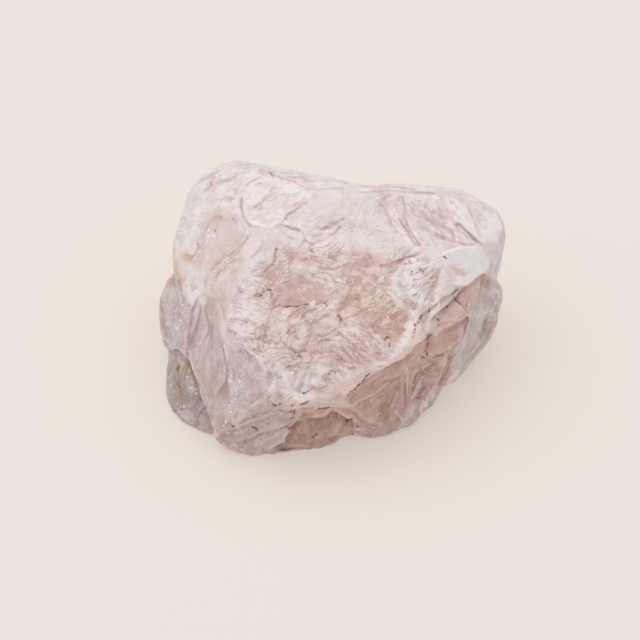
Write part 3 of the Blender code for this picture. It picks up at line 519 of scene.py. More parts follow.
# Tones of the areas, and colours of the finish, as 0 to 255 screen values.
TONES = {
    "milk": (236, 227, 227), "pale": (237, 232, 233), "frost": (255, 250, 253), "rose": (228, 210, 206),
    "warm": (222, 199, 190), "blush": (230, 215, 212), "haze": (231, 225, 229), "lilac": (216, 202, 203),
    "dusk": (210, 193, 192), "sand": (229, 215, 211), "grey": (210, 200, 203), "slate": (181, 170, 170),
    # clay, umber, mauve and plum hold painted shade as well as the stone's own colour; peach holds painted
    # light.
    "toe": (207, 187, 185), "band": (230, 208, 202), "clay": (214, 180, 169), "umber": (196, 161, 148),
    "mauve": (198, 167, 161), "plum": (186, 150, 146), "ash": (226, 206, 203), "peach": (253, 232, 222),
    "bark": (190, 169, 163),
}
COLOURS = {
    # White is the frost of the breaks, and also the painted highlight of the drawn crests and of the folds'
    # upper sides.
    "white": ("Frosted breaks and raised edges", (247, 240, 239)),
    # Painted shade: this colour darkens the risers of the thin steps and the cracks at the foot of deep
    # ledges.
    "crack": ("Risers of steps, and cracks", (198, 158, 148)),
    "earth": ("Brown earth along the lips", (134, 92, 58)),
    "ochre": ("Mineral veins", (178, 148, 98)),
    "orange": ("Stains", (222, 178, 128)),
    # Painted glints: white highlight specks laid into the colour.
    "glint": ("Glints", (255, 255, 255)),
    "cloud": ("Tint of the darker clouds", (237, 218, 213)),
    "plate": ("Tint of the darker flakes", (226, 202, 195)),
    "glass": ("Tint of the glassy windows", (241, 224, 220)),
    "streak": ("Tint of the darker streaks", (225, 196, 188)),
    "thread": ("Tint of the thin dark threads", (196, 150, 138)),
    # Painted shade: this tint darkens the hollows of the skin, where shade falls.
    "hollow": ("Tint of the hollows", (222, 190, 180)),
    # Painted shade: this tint darkens the drawn folds.
    "fold": ("Tint of the drawn folds", (208, 182, 175)),
}
# Directions of the fine streaks, in degrees from across the front.
STREAK_TURNS = {"steep": 74, "slant": 40, "fall": -62, "level": -9}


# Measuring on the front

def places(line):
    """A line's points, one row for each, in millimetres."""
    return np.reshape(line, (-1, 2)) / 10


def line_distance(points, line, closed=False):
    """How far points are from a line, on which side (1 left, -1 right), and how far along it, 0 to 1."""
    ends = places((*line, *line[:2]) if closed else line)
    runs = np.diff(ends, axis=0)
    lengths = np.hypot(runs[:, 0], runs[:, 1])
    best = np.full(len(points), np.inf)
    side = np.ones(len(points))
    share = np.zeros(len(points))
    before = 0.0
    for start, run, length in zip(ends[:-1], runs, lengths):
        along = np.clip((points - start) @ run / length**2, 0, 1)
        away = points - start - along[:, None] * run
        gap = np.hypot(away[:, 0], away[:, 1])
        nearer = gap < best
        best[nearer] = gap[nearer]
        side[nearer] = np.sign(run[0] * away[nearer, 1] - run[1] * away[nearer, 0])
        share[nearer] = (before + along[nearer] * length) / lengths.sum()
        before += length
    return best, side, share


def inside(points, corners):
    """How far points are inside a closed outline, in millimetres, and below 0 outside it."""
    gap, _, _ = line_distance(points, corners, closed=True)
    crossings = np.zeros(len(points), int)
    ends = places(corners)
    for (x0, y0), (x1, y1) in zip(ends, np.roll(ends, -1, axis=0)):
        spans = (y0 > points[:, 1]) != (y1 > points[:, 1])
        reach = x0 + (points[:, 1] - y0) / ((y1 - y0) or 1e-9) * (x1 - x0)
        crossings += spans & (points[:, 0] < reach)
    return np.where(crossings % 2 == 1, gap, -gap)


def area(points, corners, edge):
    """1 inside a closed outline, 0 outside it, and even across an edge of this width."""
    return np.clip(0.5 + inside(points, corners) / edge, 0, 1)


def most(parts, start=0.0):
    """The largest of several values at each point."""
    best = start
    for part in parts:
        best = np.maximum(best, part)
    return best


def areas(points, rows, edge):
    """How strongly areas, each an amount and its corners, cover points: the strongest counts."""
    return most(amount * area(points, corners, edge) for amount, corners in rows)


def ellipses(points, rows, sharpness):
    """How strongly ellipses cover points: middle, half width, half height, turn in degrees, amount."""
    parts = []
    for across, up, half_width, half_height, turn, amount in rows:
        angle = math.radians(turn)
        aside, above = 10 * points[:, 0] - across, 10 * points[:, 1] - up
        along = (aside * math.cos(angle) + above * math.sin(angle)) / half_width
        over = (above * math.cos(angle) - aside * math.sin(angle)) / half_height
        parts.append(amount * np.clip(sharpness * (1 - along**2 - over**2), 0, 1))
    return most(parts)


def smooth(value, low, high):
    """0 below low, 1 above high, and an even rise between them."""
    share = np.clip((value - low) / (high - low), 0, 1)
    return share * share * (3 - 2 * share)


def waves(points, size, seed):
    """Soft noise from -1 to 1 with lumps of about this size, in millimetres."""
    shift = Vector((seed * 17.3, seed * 5.1, seed * 9.7))
    return np.array([noise.noise(Vector(point) / size + shift) for point in points])


def shaken(points, reach, size, seed):
    """Places on the front, moved about by up to this reach, so that what is drawn there wavers."""
    return points[:, :2] + reach * np.stack([waves(points, size, seed + more) for more in (0, 1)], axis=1)


def taper(share):
    """Fades a line out at both of its ends."""
    return smooth(share, 0.0, 0.12) * smooth(1 - share, 0.0, 0.12)


def drawn(points):
    """How far the painted highlights of light crests (above 0) and the painted shade of dark folds (below 0)
    lie over points, with a painted highlight along each fold's upper side.
    """
    shade = np.zeros(len(points))
    thin = [(amount, STROKE_REACH, line) for amount, lines in STROKES.items() for line in lines]
    for amount, half, line in (*thin, *BROAD_STROKES):
        reach = half / 10
        ends = places(line)
        margin = 3 * reach
        close = np.all((points > ends.min(axis=0) - margin) & (points < ends.max(axis=0) + margin), axis=1)
        close = np.flatnonzero(close)
        gap, side, share = line_distance(points[close], line)
        part = amount * taper(share) * smooth(1 - gap / reach, 0, 1)
        if amount < 0:
            across, up = ends[-1] - ends[0]
            above = gap * side * (1 if across + 0.4 * up > 0 else -1)
            part += LIP * abs(amount) * taper(share) * smooth(1 - np.abs(above / reach - 1.6), 0, 1)
        stronger = np.abs(part) > np.abs(shade[close])
        shade[close[stronger]] = part[stronger]
    return shade


# Meshes: the stone is dressed on its front's axes, in millimetres, and goes back to metres at the end.

def front_frame():
    """Turns the broad front's axes, in millimetres, into the stone's own frame, in metres."""
    turn = Matrix.Rotation(FRONT_TURN, 4, "X")
    return Matrix.Scale(MILLIMETRE, 4) @ Matrix.Translation(FRONT_START) @ turn


def settle(thing):
    """Turns an object's modifiers into its mesh."""
    graph = bpy.context.evaluated_depsgraph_get()
    mesh = bpy.data.meshes.new_from_object(thing.evaluated_get(graph))
    thing.modifiers.clear()
    thing.data = mesh


def read(mesh, name):
    """A vertex array of a mesh, one row for each vertex."""
    values = np.empty(len(mesh.vertices) * 3)
    mesh.vertices.foreach_get(name, values)
    return values.reshape(-1, 3)


def move(mesh, points):
    """Puts the vertices of a mesh at new points."""
    mesh.vertices.foreach_set("co", points.ravel())
    mesh.update()


def store(mesh, name, values):
    """Keeps a number or a colour for each vertex, for the finish and the Geometry Nodes to read."""
    if np.ndim(values) == 1:
        layer = mesh.attributes.new(name, "FLOAT", "POINT")
        layer.data.foreach_set("value", np.asarray(values, np.float32))
        return
    layer = mesh.attributes.new(name, "FLOAT_COLOR", "POINT")
    full = np.ones((len(values), 4), np.float32)
    full[:, :3] = values
    layer.data.foreach_set("color", full.ravel())


class Web:
    """The edges of a mesh, for blurring values from vertex to vertex."""

    def __init__(self, mesh):
        ends = np.empty(len(mesh.edges) * 2, int)
        mesh.edges.foreach_get("vertices", ends)
        self.first, self.second = ends.reshape(-1, 2).T
        self.count = np.bincount(ends, minlength=len(mesh.vertices)) + 1.0

    def blur(self, values, times):
        """Averages each vertex's values with its neighbours', this many times."""
        for _ in range(times):
            total = np.array(values, float)
            size = len(total)
            for column in (total.T if total.ndim > 1 else [total]):
                old = column.copy()
                column += np.bincount(self.first, old[self.second], size)
                column += np.bincount(self.second, old[self.first], size)
                column /= self.count
            values = total
        return values


# Skin

def copy_stone(grain):
    """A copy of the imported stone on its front's axes, with one even skin of small faces."""
    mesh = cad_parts["morganite"].data.copy()
    skin = bpy.data.objects.new("rough_skin", mesh)
    bpy.context.scene.collection.objects.link(skin)
    shape = bmesh.new()
    shape.from_mesh(mesh)
    bmesh.ops.remove_doubles(shape, verts=shape.verts, dist=1e-6)
    shape.to_mesh(mesh)
    shape.free()
    mesh.transform(front_frame().inverted())
    remesh = skin.modifiers.new("skin", "REMESH")
    remesh.mode = "VOXEL"
    remesh.voxel_size = grain
    soften = skin.modifiers.new("soften", "SMOOTH")
    soften.factor = 0.5
    soften.iterations = 1
    settle(skin)
    return skin


def facing(mesh, web):
    """How much each part of the skin belongs to the broad front, 0 to 1."""
    broad = web.blur(read(mesh, "normal"), times=12)
    return smooth(broad[:, 2] / np.linalg.norm(broad, axis=1), -0.05, 0.12)


def plane(points, members):
    """How far out points would lie on the plane that best fits some of them."""
    table = np.column_stack([np.ones(len(points)), points[:, :2]])
    fit, *_ = np.linalg.lstsq(table[members], points[members, 2], rcond=None)
    return table @ fit


def glass(points):
    """How far inside a torn-edged glassy window points are, in millimetres, below 0 outside."""
    turn, ratio = math.radians(WINDOW_TURN), 3.0
    along = points[:, 0] * math.cos(turn) + points[:, 1] * math.sin(turn)
    over = points[:, 1] * math.cos(turn) - points[:, 0] * math.sin(turn)
    drawn_out = np.stack([along / ratio, over, 0 * over], axis=1)
    tears = 0.55 * waves(drawn_out, size=0.5, seed=21) + 0.35 * waves(drawn_out, size=0.25, seed=22)
    return most((inside(points[:, :2], corners) for corners in WINDOWS), -1.0) - 0.12 + tears


def flatten(mesh, web, front):
    """Takes the lumps out of the broad faces, levels the clean breaks and sinks the glassy windows."""
    points = read(mesh, "co")
    near = web.blur(front, CALMING)
    curve = web.blur(points[:, 2] * front, CALMING) / np.maximum(near, 0.001)
    seen = np.flatnonzero(front > 0.3)
    part = points[seen]
    spots = shaken(part, 0.06, size=0.9, seed=5)
    calm = most(share * area(spots, corners, edge) for share, edge, corners in LEVELS)
    part[:, 2] += calm * front[seen] * np.clip(curve[seen] - part[:, 2], -MOST_CALMED, MOST_CALMED)
    for share, sunk, _, corners in FACETS:
        inner = area(spots, corners, edge=0.25)
        gap = np.clip(plane(part, inner > 0.7) - part[:, 2], -MOST_LEVELLED, MOST_LEVELLED)
        part[:, 2] += inner * front[seen] * (share * gap - sunk)
    part[:, 2] -= WINDOW_DEPTH * smooth(glass(part), -0.1, 0.15) * front[seen]
    points[seen] = part
    move(mesh, points)


def ledge_places(points):
    """Where ledges are cut and cracked."""
    return shaken(points, 0.12, size=0.7, seed=7)


def carve(mesh, web, front):
    """Cuts the ledges, and raises the crests and scores the folds."""
    points, normals = read(mesh, "co"), web.blur(read(mesh, "normal"), times=2)
    normals /= np.linalg.norm(normals, axis=1)[:, None]
    seen = np.flatnonzero(front > 0.05)
    spots = ledge_places(points[seen])
    lift = np.zeros(len(points))
    for drop, reach, line in LEDGES:
        gap, side, share = line_distance(spots, line)
        lift[seen] -= drop * taper(share) * np.exp(-gap / reach) * smooth(gap * side, -0.02, 0.14)
    # The strokes' painted highlights and shade, kept for the finish, also raise and sink the skin a little.
    stroke = np.zeros(len(points))
    stroke[seen] = drawn(points[seen, :2])
    store(mesh, "stroke", stroke * front)
    lift += STROKE_HEIGHT * stroke
    move(mesh, points + normals * (lift * front)[:, None])


# Marks, kept on the skin for its finish

def covered(colours, share, tone):
    """Colours covered by a tone, as far as the share of each says."""
    share = share[:, None]
    return colours * (1 - share) + share * np.array(linear(*TONES[tone])[:3])


class Marks:
    """Where the skin is rough, glassy, frosted, streaked, cracked or soiled, and in which tone."""

    def __init__(self, mesh, front):
        self.mesh, self.front, self.hidden = mesh, front, 1 - front
        points = read(mesh, "co")
        self.seen = np.flatnonzero(front > 0)
        self.near = points[self.seen]
        self.place = self.near[:, :2]
        broadly = shaken(self.near, 0.3, size=1.3, seed=1)
        self.spots = broadly + shaken(self.near, 0.12, size=0.45, seed=14) - self.place
        self.drift = waves(points, size=5.0, seed=3)
        self.patches = waves(points, size=3.0, seed=4)
        self.clouds = waves(points, size=7.0, seed=9)

    def joined(self, seen, hidden=0.0):
        """Values laid out on the broad front, passing into others where the skin turns away from it."""
        whole = hidden + np.zeros((len(self.front), *np.shape(seen)[1:]))
        share = self.front[self.seen].reshape(-1, *[1] * (whole.ndim - 1))
        whole[self.seen] = share * seen + (1 - share) * whole[self.seen]
        return whole

    def keep(self, **marks):
        """Stores marks under their names."""
        for name, values in marks.items():
            store(self.mesh, name, values)

    def tones(self):
        """Lays the tones over each other."""
        milk = np.tile(linear(*TONES["milk"])[:3], (len(self.front), 1))
        for tone, way, low in (("blush", 1, -0.1), ("haze", 1, 0.15), ("pale", -1, 0.1), ("sand", -1, 0.3)):
            milk = covered(milk, smooth(way * self.clouds + 0.3 * self.drift, low, low + 0.15), tone)
        painted = np.tile(linear(*TONES["blush"])[:3], (len(self.seen), 1))
        wavering = self.place + 0.7 * (self.spots - self.place)
        for tone, edge, corners in REGIONS:
            painted = covered(painted, area(wavering, corners, 0.6 * edge), tone)
        self.keep(tone=self.joined(painted, milk))

    def breaks(self):
        """Marks how the skin is broken: rough, clear through a window, or frosted."""
        clear = areas(self.place, ((clear, corners) for _, _, clear, corners in FACETS), edge=0.3)
        rough = np.maximum(LEAST_ROUGH, ellipses(self.spots, ROUGH_PATCHES, sharpness=2.5))
        rough *= 1 - 0.6 * np.clip(2.2 * clear, 0, 1)
        around = LEAST_ROUGH + (MOST_ROUGH - LEAST_ROUGH) * smooth(self.drift, -0.25, 0.3)
        rough = self.joined(rough, around)
        window = self.joined(glass(self.near), 2.0 * (self.patches - 0.34))
        rough *= 1 - 0.85 * smooth(window, -0.1, 0.1)
        down = np.array(front_frame().to_3x3().inverted() @ Vector((0, 0, -1)))
        resting = smooth(read(self.mesh, "normal") @ (down / np.linalg.norm(down)), 0.9, 0.99)
        milky = 0.7 * smooth(self.clouds - 0.5 * self.drift, 0.1, 0.3)
        lean = sum(way * area(self.spots, corners, edge=0.8) for way, corners in LEANS)
        self.keep(rough=rough * (1 - resting), window=np.clip(window, -1, 1), lean=self.joined(lean),
                  frost=self.joined(areas(self.spots, FROST, edge=0.8), milky))

    def streaks(self):
        """Marks where fine streaks run each way."""
        for family, rows in STREAKS.items():
            streak = self.joined(areas(self.spots, rows, edge=0.8))
            if family == "steep":
                streak = np.maximum(streak, self.hidden * smooth(self.patches, 0.0, 0.3))
            self.keep(**{family: streak})

    def cracks(self):
        """Marks how far the skin is from the foot of the deep ledges, and where it is near one, for the
        painted shade along their cracks.
        """
        crack, near = np.full(len(self.front), 1.0), np.zeros(len(self.front))
        best = np.full(len(self.seen), 1.0)
        spots = ledge_places(self.near)
        for line in (line for drop, _, line in LEDGES if drop > CRACKED):
            gap, side, share = line_distance(spots, line)
            closer = gap < best
            best[closer] = gap[closer]
            crack[self.seen[closer]] = (gap * side)[closer]
            fade = smooth(0.5 - gap, 0, 0.2) * taper(share) * self.front[self.seen]
            near[self.seen[closer]] = fade[closer]
        self.keep(crack=crack, near_crack=near)

    def soil_and_glints(self):
        """Marks earth, ochre veins, stains, and where glints are painted as highlights."""
        for name, lines, half in (("earth", DIRT, EARTH_REACH), ("ochre", VEINS, OCHRE_REACH)):
            amount = most(np.clip(1 - line_distance(self.place, line)[0] / half, 0, 1) for line in lines)
            self.keep(**{name: self.joined(amount)})
        stain = np.zeros(len(self.front))
        stain[self.seen] = areas(self.spots, ((1, corners) for corners in STAINS), edge=0.6)
        glint = np.maximum(self.joined(ellipses(self.place, SPARKLES, sharpness=2)), 0.35 * self.hidden)
        self.keep(stain=stain, glint=glint)


def mark_edges(mesh):
    """Keeps where edges stand out (above 0) and where folds lie deep (below 0), finely and broadly. The deep
    folds are given painted shade.
    """
    web = Web(mesh)
    points, normals = read(mesh, "co"), read(mesh, "normal")
    raised = np.einsum("ij,ij->i", normals, points - web.blur(points, 1))
    store(mesh, "edge", web.blur(raised, 1) / 0.02)
    broad = np.einsum("ij,ij->i", web.blur(normals, 8), points - web.blur(points, 16))
    store(mesh, "fold", broad / 0.06)


# Nodes, for the skin and its finish

class Value:
    """A number, vector or colour in a node tree, worked with like a plain number."""

    def __init__(self, socket):
        self.socket = socket

    def __add__(self, other):
        return self.put("ADD", other)

    def __sub__(self, other):
        return self.put("SUBTRACT", other)

    def __rsub__(self, other):
        return self.put("MULTIPLY_ADD", -1.0, other)

    def __mul__(self, other):
        number = other.socket.type == "VALUE" if isinstance(other, Value) else isinstance(other, float)
        if number and self.socket.type != "VALUE":
            return self.put("SCALE", None, None, other)
        return self.put("MULTIPLY", other)

    def put(self, operation, *others, output=0):
        """What an operation makes of this and other values."""
        kind = "ShaderNodeMath" if self.socket.type == "VALUE" else "ShaderNodeVectorMath"
        return Value(node(self.tree, kind, self, *others, operation=operation).outputs[output])

    @property
    def tree(self):
        """The node tree that holds the value."""
        return self.socket.id_data


def give(socket, value):
    """Links a socket to a value in its tree, or sets it to a plain one."""
    if isinstance(value, Value):
        value.tree.links.new(value.socket, socket)
    elif value is not None:
        socket.default_value = value


def node(tree, kind, *inputs, **settings):
    """A node with its settings and its first inputs. None leaves an input as it is."""
    made = tree.nodes.new(kind)
    for name, value in settings.items():
        setattr(made, name, value)
    for socket, value in zip(made.inputs, inputs):
        give(socket, value)
    return made


HALF = (0.5, 0.5, 0.5)


def ramp(value, low, high):
    """0 where a value is under low, 1 where it is over high."""
    made = node(value.tree, "ShaderNodeMapRange", value, low, high, interpolation_type="SMOOTHSTEP")
    return Value(made.outputs[0])


def grains(place, size, seed, detail=3.0, rough=0.6, warp=0.0):
    """Noise from 0 to 1, with lumps of about this size."""
    moved = place + (seed, seed * 0.7, seed * 1.3)
    made = node(place.tree, "ShaderNodeTexNoise", moved, None, 1 / size, detail, rough)
    made.inputs["Distortion"].default_value = warp
    return Value(made.outputs[0])


def push(place, size, detail):
    """A soft random shift, each way up to a half, with lumps of about this size."""
    made = node(place.tree, "ShaderNodeTexNoise", place, None, 1 / size, detail)
    return Value(made.outputs["Color"]) - HALF


def stretched(place, turn, ratio):
    """Turns a place and squeezes it, so that what is drawn with it runs along the turn, in degrees."""
    angle = -math.radians(turn)
    turned = node(place.tree, "ShaderNodeVectorRotate", place, None, None, angle, rotation_type="Z_AXIS")
    return Value(turned.outputs[0]) * (1 / ratio, 1.0, 1.0)


def steps(place, gap, wave, jag, seed):
    """A break in thin wavy steps: its height, where its risers are, and 0 to 1 between steps."""
    over = Value(node(place.tree, "ShaderNodeSeparateXYZ", place).outputs[1])
    broad = grains(place, 4 * gap, seed, detail=2, rough=0.55, warp=0.6)
    fine = grains(place, 0.8 * gap, seed + 3, detail=2)
    part = (over * (1 / gap) + broad * wave + fine * jag).put("FRACT")
    broken = ramp(grains(place, 2.5 * gap, seed + 7, rough=0.7), 0.40, 0.58)
    riser = ramp(part, 0.70, 0.98) * broken
    part = part * broken
    return part * -0.8 + riser, riser, part


def flakes(place, size, seed):
    """Broken flakes, each tilted its own way: their heights, and a random number for each."""
    bent = place + push(place + (seed,) * 3, 2.2 * size, detail=2) * (1.6 * size)
    middle = Value(node(place.tree, "ShaderNodeTexVoronoi", bent, None, 1 / size).outputs["Position"])
    own = node(place.tree, "ShaderNodeTexWhiteNoise", middle + (seed,) * 3)
    away = (bent - middle) * (2.6 / size)
    height = (Value(own.outputs["Color"]) - HALF).put("DOT_PRODUCT", away, output="Value")
    return height, Value(own.outputs["Value"])


def crumple(place, lean, gap, wave, jag):
    """Steps that run up to the right in some places and down to the right in others."""
    place = place + push(place, 6 * gap, detail=1) * (5 * gap)
    up = steps(stretched(place, STEP_TURN, 2.0), gap, wave, jag, seed=3)
    down = steps(stretched(place, -STEP_TURN, 2.0), gap, wave, jag, seed=8)
    share = ramp(lean * 0.12 + grains(place, 12 * gap, 5, detail=2, rough=0.55), 0.48, 0.52)
    return [first + (second - first) * share for first, second in zip(up, down)]


# Broken skin, as Geometry Nodes

HEIGHTS = ("Flake Height", "Chip Height", "Step Height", "Grit Height")


def hackle_tree():
    """Breaks a skin into tilted flakes and thin steps, as far as it is rough."""
    tree = bpy.data.node_groups.new("hackle", "GeometryNodeTree")
    face = tree.interface
    face.new_socket("Geometry", in_out="OUTPUT", socket_type="NodeSocketGeometry")
    face.new_socket("Geometry", in_out="INPUT", socket_type="NodeSocketGeometry")
    for label in HEIGHTS:
        face.new_socket(label, in_out="INPUT", socket_type="NodeSocketFloat")
    face.new_socket("Finish", in_out="INPUT", socket_type="NodeSocketMaterial")
    start = {socket.name: Value(socket) for socket in node(tree, "NodeGroupInput").outputs}
    place = Value(node(tree, "GeometryNodeInputPosition").outputs[0])
    normal = Value(node(tree, "GeometryNodeInputNormal").outputs[0])
    rough = Value(node(tree, "GeometryNodeInputNamedAttribute", "rough").outputs["Attribute"])
    lean = Value(node(tree, "GeometryNodeInputNamedAttribute", "lean").outputs["Attribute"])
    large, _ = flakes(place, size=2.1, seed=3.7)
    small, _ = flakes(place, size=0.9, seed=7.4)
    height, _, _ = crumple(place, lean, *BROAD_STEPS)
    grit = grains(place, 0.5, 11) - 0.5
    total = large * start["Flake Height"] + small * start["Chip Height"]
    total = total + height * start["Step Height"] + grit * start["Grit Height"]
    shift = node(tree, "GeometryNodeSetPosition", start["Geometry"], None, None, normal * (total * rough))
    real = node(tree, "GeometryNodeRealizeInstances", Value(shift.outputs[0]))
    paint = node(tree, "GeometryNodeSetMaterial", Value(real.outputs[0]), None, start["Finish"])
    node(tree, "NodeGroupOutput", Value(paint.outputs[0]))
    return tree


def break_up(skin, sizes, finish):
    """Breaks the skin up with the hackle tree, and turns the result into its mesh."""
    hackle = skin.modifiers.new("hackle", "NODES")
    hackle.node_group = hackle_tree()
    values = {"Finish": finish}
    for label in HEIGHTS:
        values[label] = getattr(sizes, label.replace(" ", "_").lower()) / MILLIMETRE
    for item in hackle.node_group.interface.items_tree:
        if item.in_out == "INPUT" and item.name in values:
            hackle[item.identifier] = values[item.name]
    settle(skin)


def thin_out(skin, triangles):
    """Keeps the faces that carry shape, down to a number of triangles."""
    count = sum(len(face.vertices) - 2 for face in skin.data.polygons)
    if count > triangles:
        fewer = skin.modifiers.new("fewer", "DECIMATE")
        fewer.ratio = triangles / count
        fewer.use_collapse_triangulate = True
        settle(skin)


# Finish

def mixed(share, first, second, way="MIX"):
    """A colour between two, kept from going past either."""
    made = node(first.tree, "ShaderNodeMix", data_type="RGBA", blend_type=way)
    for index, value in ((0, share), (6, first), (7, second)):
        give(made.inputs[index], value)
    return Value(made.outputs[2])


class Paint:
    """A colour built up in layers. How far a layer covers it is the product of the layer's shares."""

    def __init__(self, colour):
        self.colour = colour

    def lay(self, colour, *shares):
        """Covers it with another colour."""
        share = shares[0]
        for other in shares[1:]:
            share = share * other
        self.colour = mixed(share, self.colour, colour)

    def tint(self, colour, *shares):
        """Deepens it, as if it were seen through a tint."""
        self.lay(mixed(1.0, self.colour, colour, "MULTIPLY"), *shares)


class Beryl:
    """Milky pale pink beryl: glassy and deeper pink in its windows, white where it is hackly."""

    def __init__(self, colours):
        self.colours = colours
        self.finish = bpy.data.materials.new("milky pink beryl")
        self.finish.use_nodes = True
        self.tree = self.finish.node_tree
        texture = node(self.tree, "ShaderNodeTexCoord").outputs["Object"]
        start = [part * MILLIMETRE for part in FRONT_START]
        self.place = Value(node(self.tree, "ShaderNodeMapping", Value(texture), start, (FRONT_TURN, 0, 0),
                                (MILLIMETRE,) * 3, vector_type="TEXTURE").outputs[0])
        self.rough, self.lean, self.tone = self.mark("rough"), self.mark("lean"), self.mark("tone", "Color")
        self.jitter = grains(self.place, 0.35, 1, detail=4, rough=0.65) - 0.5
        self.window = ramp(self.jitter * 0.7 + self.mark("window"), -0.08, 0.10)
        self.torn = self.rough * (1 - self.window)
        self.cloud = grains(self.place, 1.8, 2, detail=9, rough=0.72, warp=0.8)
        self.paint = Paint(self.tone)

    def mark(self, name, output="Fac"):
        """What the skin keeps under a name."""
        return Value(node(self.tree, "ShaderNodeAttribute", attribute_name=name).outputs[output])

    def milk(self):
        """Lighter and darker clouds."""
        mottled = self.rough * 0.65 + 0.35
        self.paint.lay(self.colours.white, ramp(self.cloud, 0.52, 0.62), mottled, 0.5)
        self.paint.tint(self.colours.cloud, ramp(self.cloud, 0.50, 0.38), mottled, 0.9)

    def hackle(self):
        """Thin steps with painted shade on their risers, flakes and flecks where the skin is torn. Gives the
        steps' height.
        """
        colours, paint, torn = self.colours, self.paint, self.torn
        height, riser, part = crumple(self.place, self.lean, *BROAD_STEPS)
        fine_height, fine_riser, _ = crumple(self.place, self.lean, *FINE_STEPS)
        paint.lay(colours.white, ramp(part * part, 0.25, 0.8), torn, 0.5)
        # Painted shade: the risers of the steps are darkened.
        paint.lay(colours.crack, riser, torn, 1.1)
        paint.lay(colours.crack, fine_riser, torn, 0.8)
        _, plate = flakes(self.place, size=1.1, seed=7.4)
        paint.lay(colours.white, ramp(plate, 0.68, 0.72), torn, 0.3)
        paint.tint(colours.plate, ramp(plate, 0.26, 0.22), torn, 0.35)
        frost = self.mark("frost")
        flecks = grains(self.place, 0.7, 4, detail=6, rough=0.7, warp=0.3)
        paint.lay(colours.white, ramp(frost * 0.30 + flecks, 0.60, 0.74), frost * 0.45 + self.rough * 0.35)
        return fine_height * 0.4 + height

    def glass(self):
        """The deeper colour in the windows, behind a thin veil."""
        glass = Paint(self.tone)
        glass.tint(self.colours.glass, 1.0)
        strands = grains(stretched(self.place, WINDOW_TURN, 2.5), 0.6, 9, detail=5, rough=0.65, warp=0.5)
        glass.lay(self.colours.white, ramp(strands, 0.52, 0.66), 0.5)
        self.paint.lay(glass.colour, self.window, 0.9)

    def streaks(self):
        """Fine light and dark streaks."""
        for index, (family, turn) in enumerate(STREAK_TURNS.items()):
            along = stretched(self.place, turn, 9.0)
            streak = grains(along, 0.5, 20 + index, detail=6, rough=0.7, warp=0.5)
            here = self.mark(family)
            self.paint.lay(self.colours.white, ramp(streak, 0.54, 0.64), here, 0.5)
            self.paint.tint(self.colours.streak, ramp(streak, 0.47, 0.38), here, 0.6)

    def lines(self):
        """Threads, whiter edges, painted shade in the hollows, the drawn crests and folds as painted
        highlights and shade, and the painted shade of the cracks. Gives where the cracks are.
        """
        colours, paint, place = self.colours, self.paint, self.place
        clean = 1 - self.torn * 0.6
        white_threads = (grains(place, 2.4, 30, detail=5, warp=1.2) - 0.5).put("ABSOLUTE")
        paint.lay(colours.white, ramp(white_threads, 0.020, 0.0), clean, 0.28)
        dark_threads = (grains(place, 3.1, 33, detail=5, warp=1.5) - 0.5).put("ABSOLUTE")
        paint.tint(colours.thread, ramp(dark_threads, 0.014, 0.0), clean, 0.25)
        paint.lay(colours.white, ramp(self.mark("edge"), 0.2, 1.0), 0.15)
        # Painted shade in the broad hollows.
        paint.tint(colours.hollow, ramp(self.mark("fold"), -0.1, -0.9), 0.45)
        stroke = self.mark("stroke")
        # The drawn crests are painted highlights and the drawn folds painted shade, broken up by noise.
        stroke_breakup = ramp(grains(place, 0.5, 18), 0.25, 0.5)
        paint.lay(colours.white, stroke, stroke_breakup, 0.85)
        paint.tint(colours.fold, stroke, stroke_breakup * 0.4 + 0.6, -0.85)
        # Painted shade along the cracks at the foot of the deep ledges, which also groove the bump.
        wander = (self.jitter * 0.16 + self.mark("crack")).put("ABSOLUTE")
        crack = (1 - ramp(wander, 0.0, 0.08)) * self.mark("near_crack")
        paint.lay(colours.crack, crack, ramp(grains(place, 0.6, 6, detail=2, rough=0.55), 0.38, 0.55), 0.5)
        return crack

    def soil_and_glints(self):
        """Stains, ochre veins and earth, and the painted glints: white highlight specks in the colour."""
        colours, paint, place = self.colours, self.paint, self.place
        paint.lay(colours.orange, self.mark("stain"), ramp(self.cloud, 0.3, 0.6), 0.9)
        paint.lay(colours.ochre, ramp(self.mark("ochre") * 0.45 + self.cloud, 0.75, 0.95), 0.7)
        specks = grains(place, 0.3, 12)
        paint.lay(colours.earth, ramp(self.mark("earth") * 0.42 + specks, 0.765, 0.85), 0.9)
        sparks = (grains(place, 1.5, 16, detail=2, rough=0.5) * 0.25
                  + grains(place, 0.32, 15, rough=0.55, warp=0.8))
        # Painted highlights: white glint specks.
        paint.lay(colours.glint, ramp(self.mark("glint") * 0.10 + sparks, 0.825, 0.85))

    def build(self):
        """Makes the layers in order, from the milky ground to the earth, stains and painted glints, and sets
        the shader.
        """
        self.milk()
        height = self.hackle()
        self.glass()
        self.streaks()
        crack = self.lines()
        self.soil_and_glints()
        relief = height * (self.torn * 0.9 + 0.06) + crack * -0.6 + self.cloud * 0.8
        bump = node(self.tree, "ShaderNodeBump")
        for name, value in (("Strength", 0.7), ("Distance", 0.12 * MILLIMETRE), ("Height", relief)):
            give(bump.inputs[name], value)
        shader = self.tree.nodes["Principled BSDF"]
        for name, value in {
            "Base Color": self.paint.colour,
            "Roughness": self.window * -0.14 + (self.rough * 0.14 + 0.36),
            "Normal": Value(bump.outputs[0]),
            "IOR": 1.58,
            "Subsurface Weight": 0.8,
            "Subsurface Radius": (1.0, 0.7, 0.62),
            "Subsurface Scale": 0.15 * MILLIMETRE,
        }.items():
            give(shader.inputs[name], value)
        return self.finish


# Settings

def size_setting(name, description, millimetres):
    """A length that a user can change."""
    return bpy.props.FloatProperty(name=name, description=description, default=millimetres * MILLIMETRE,
                                   min=0, precision=6, unit="LENGTH")


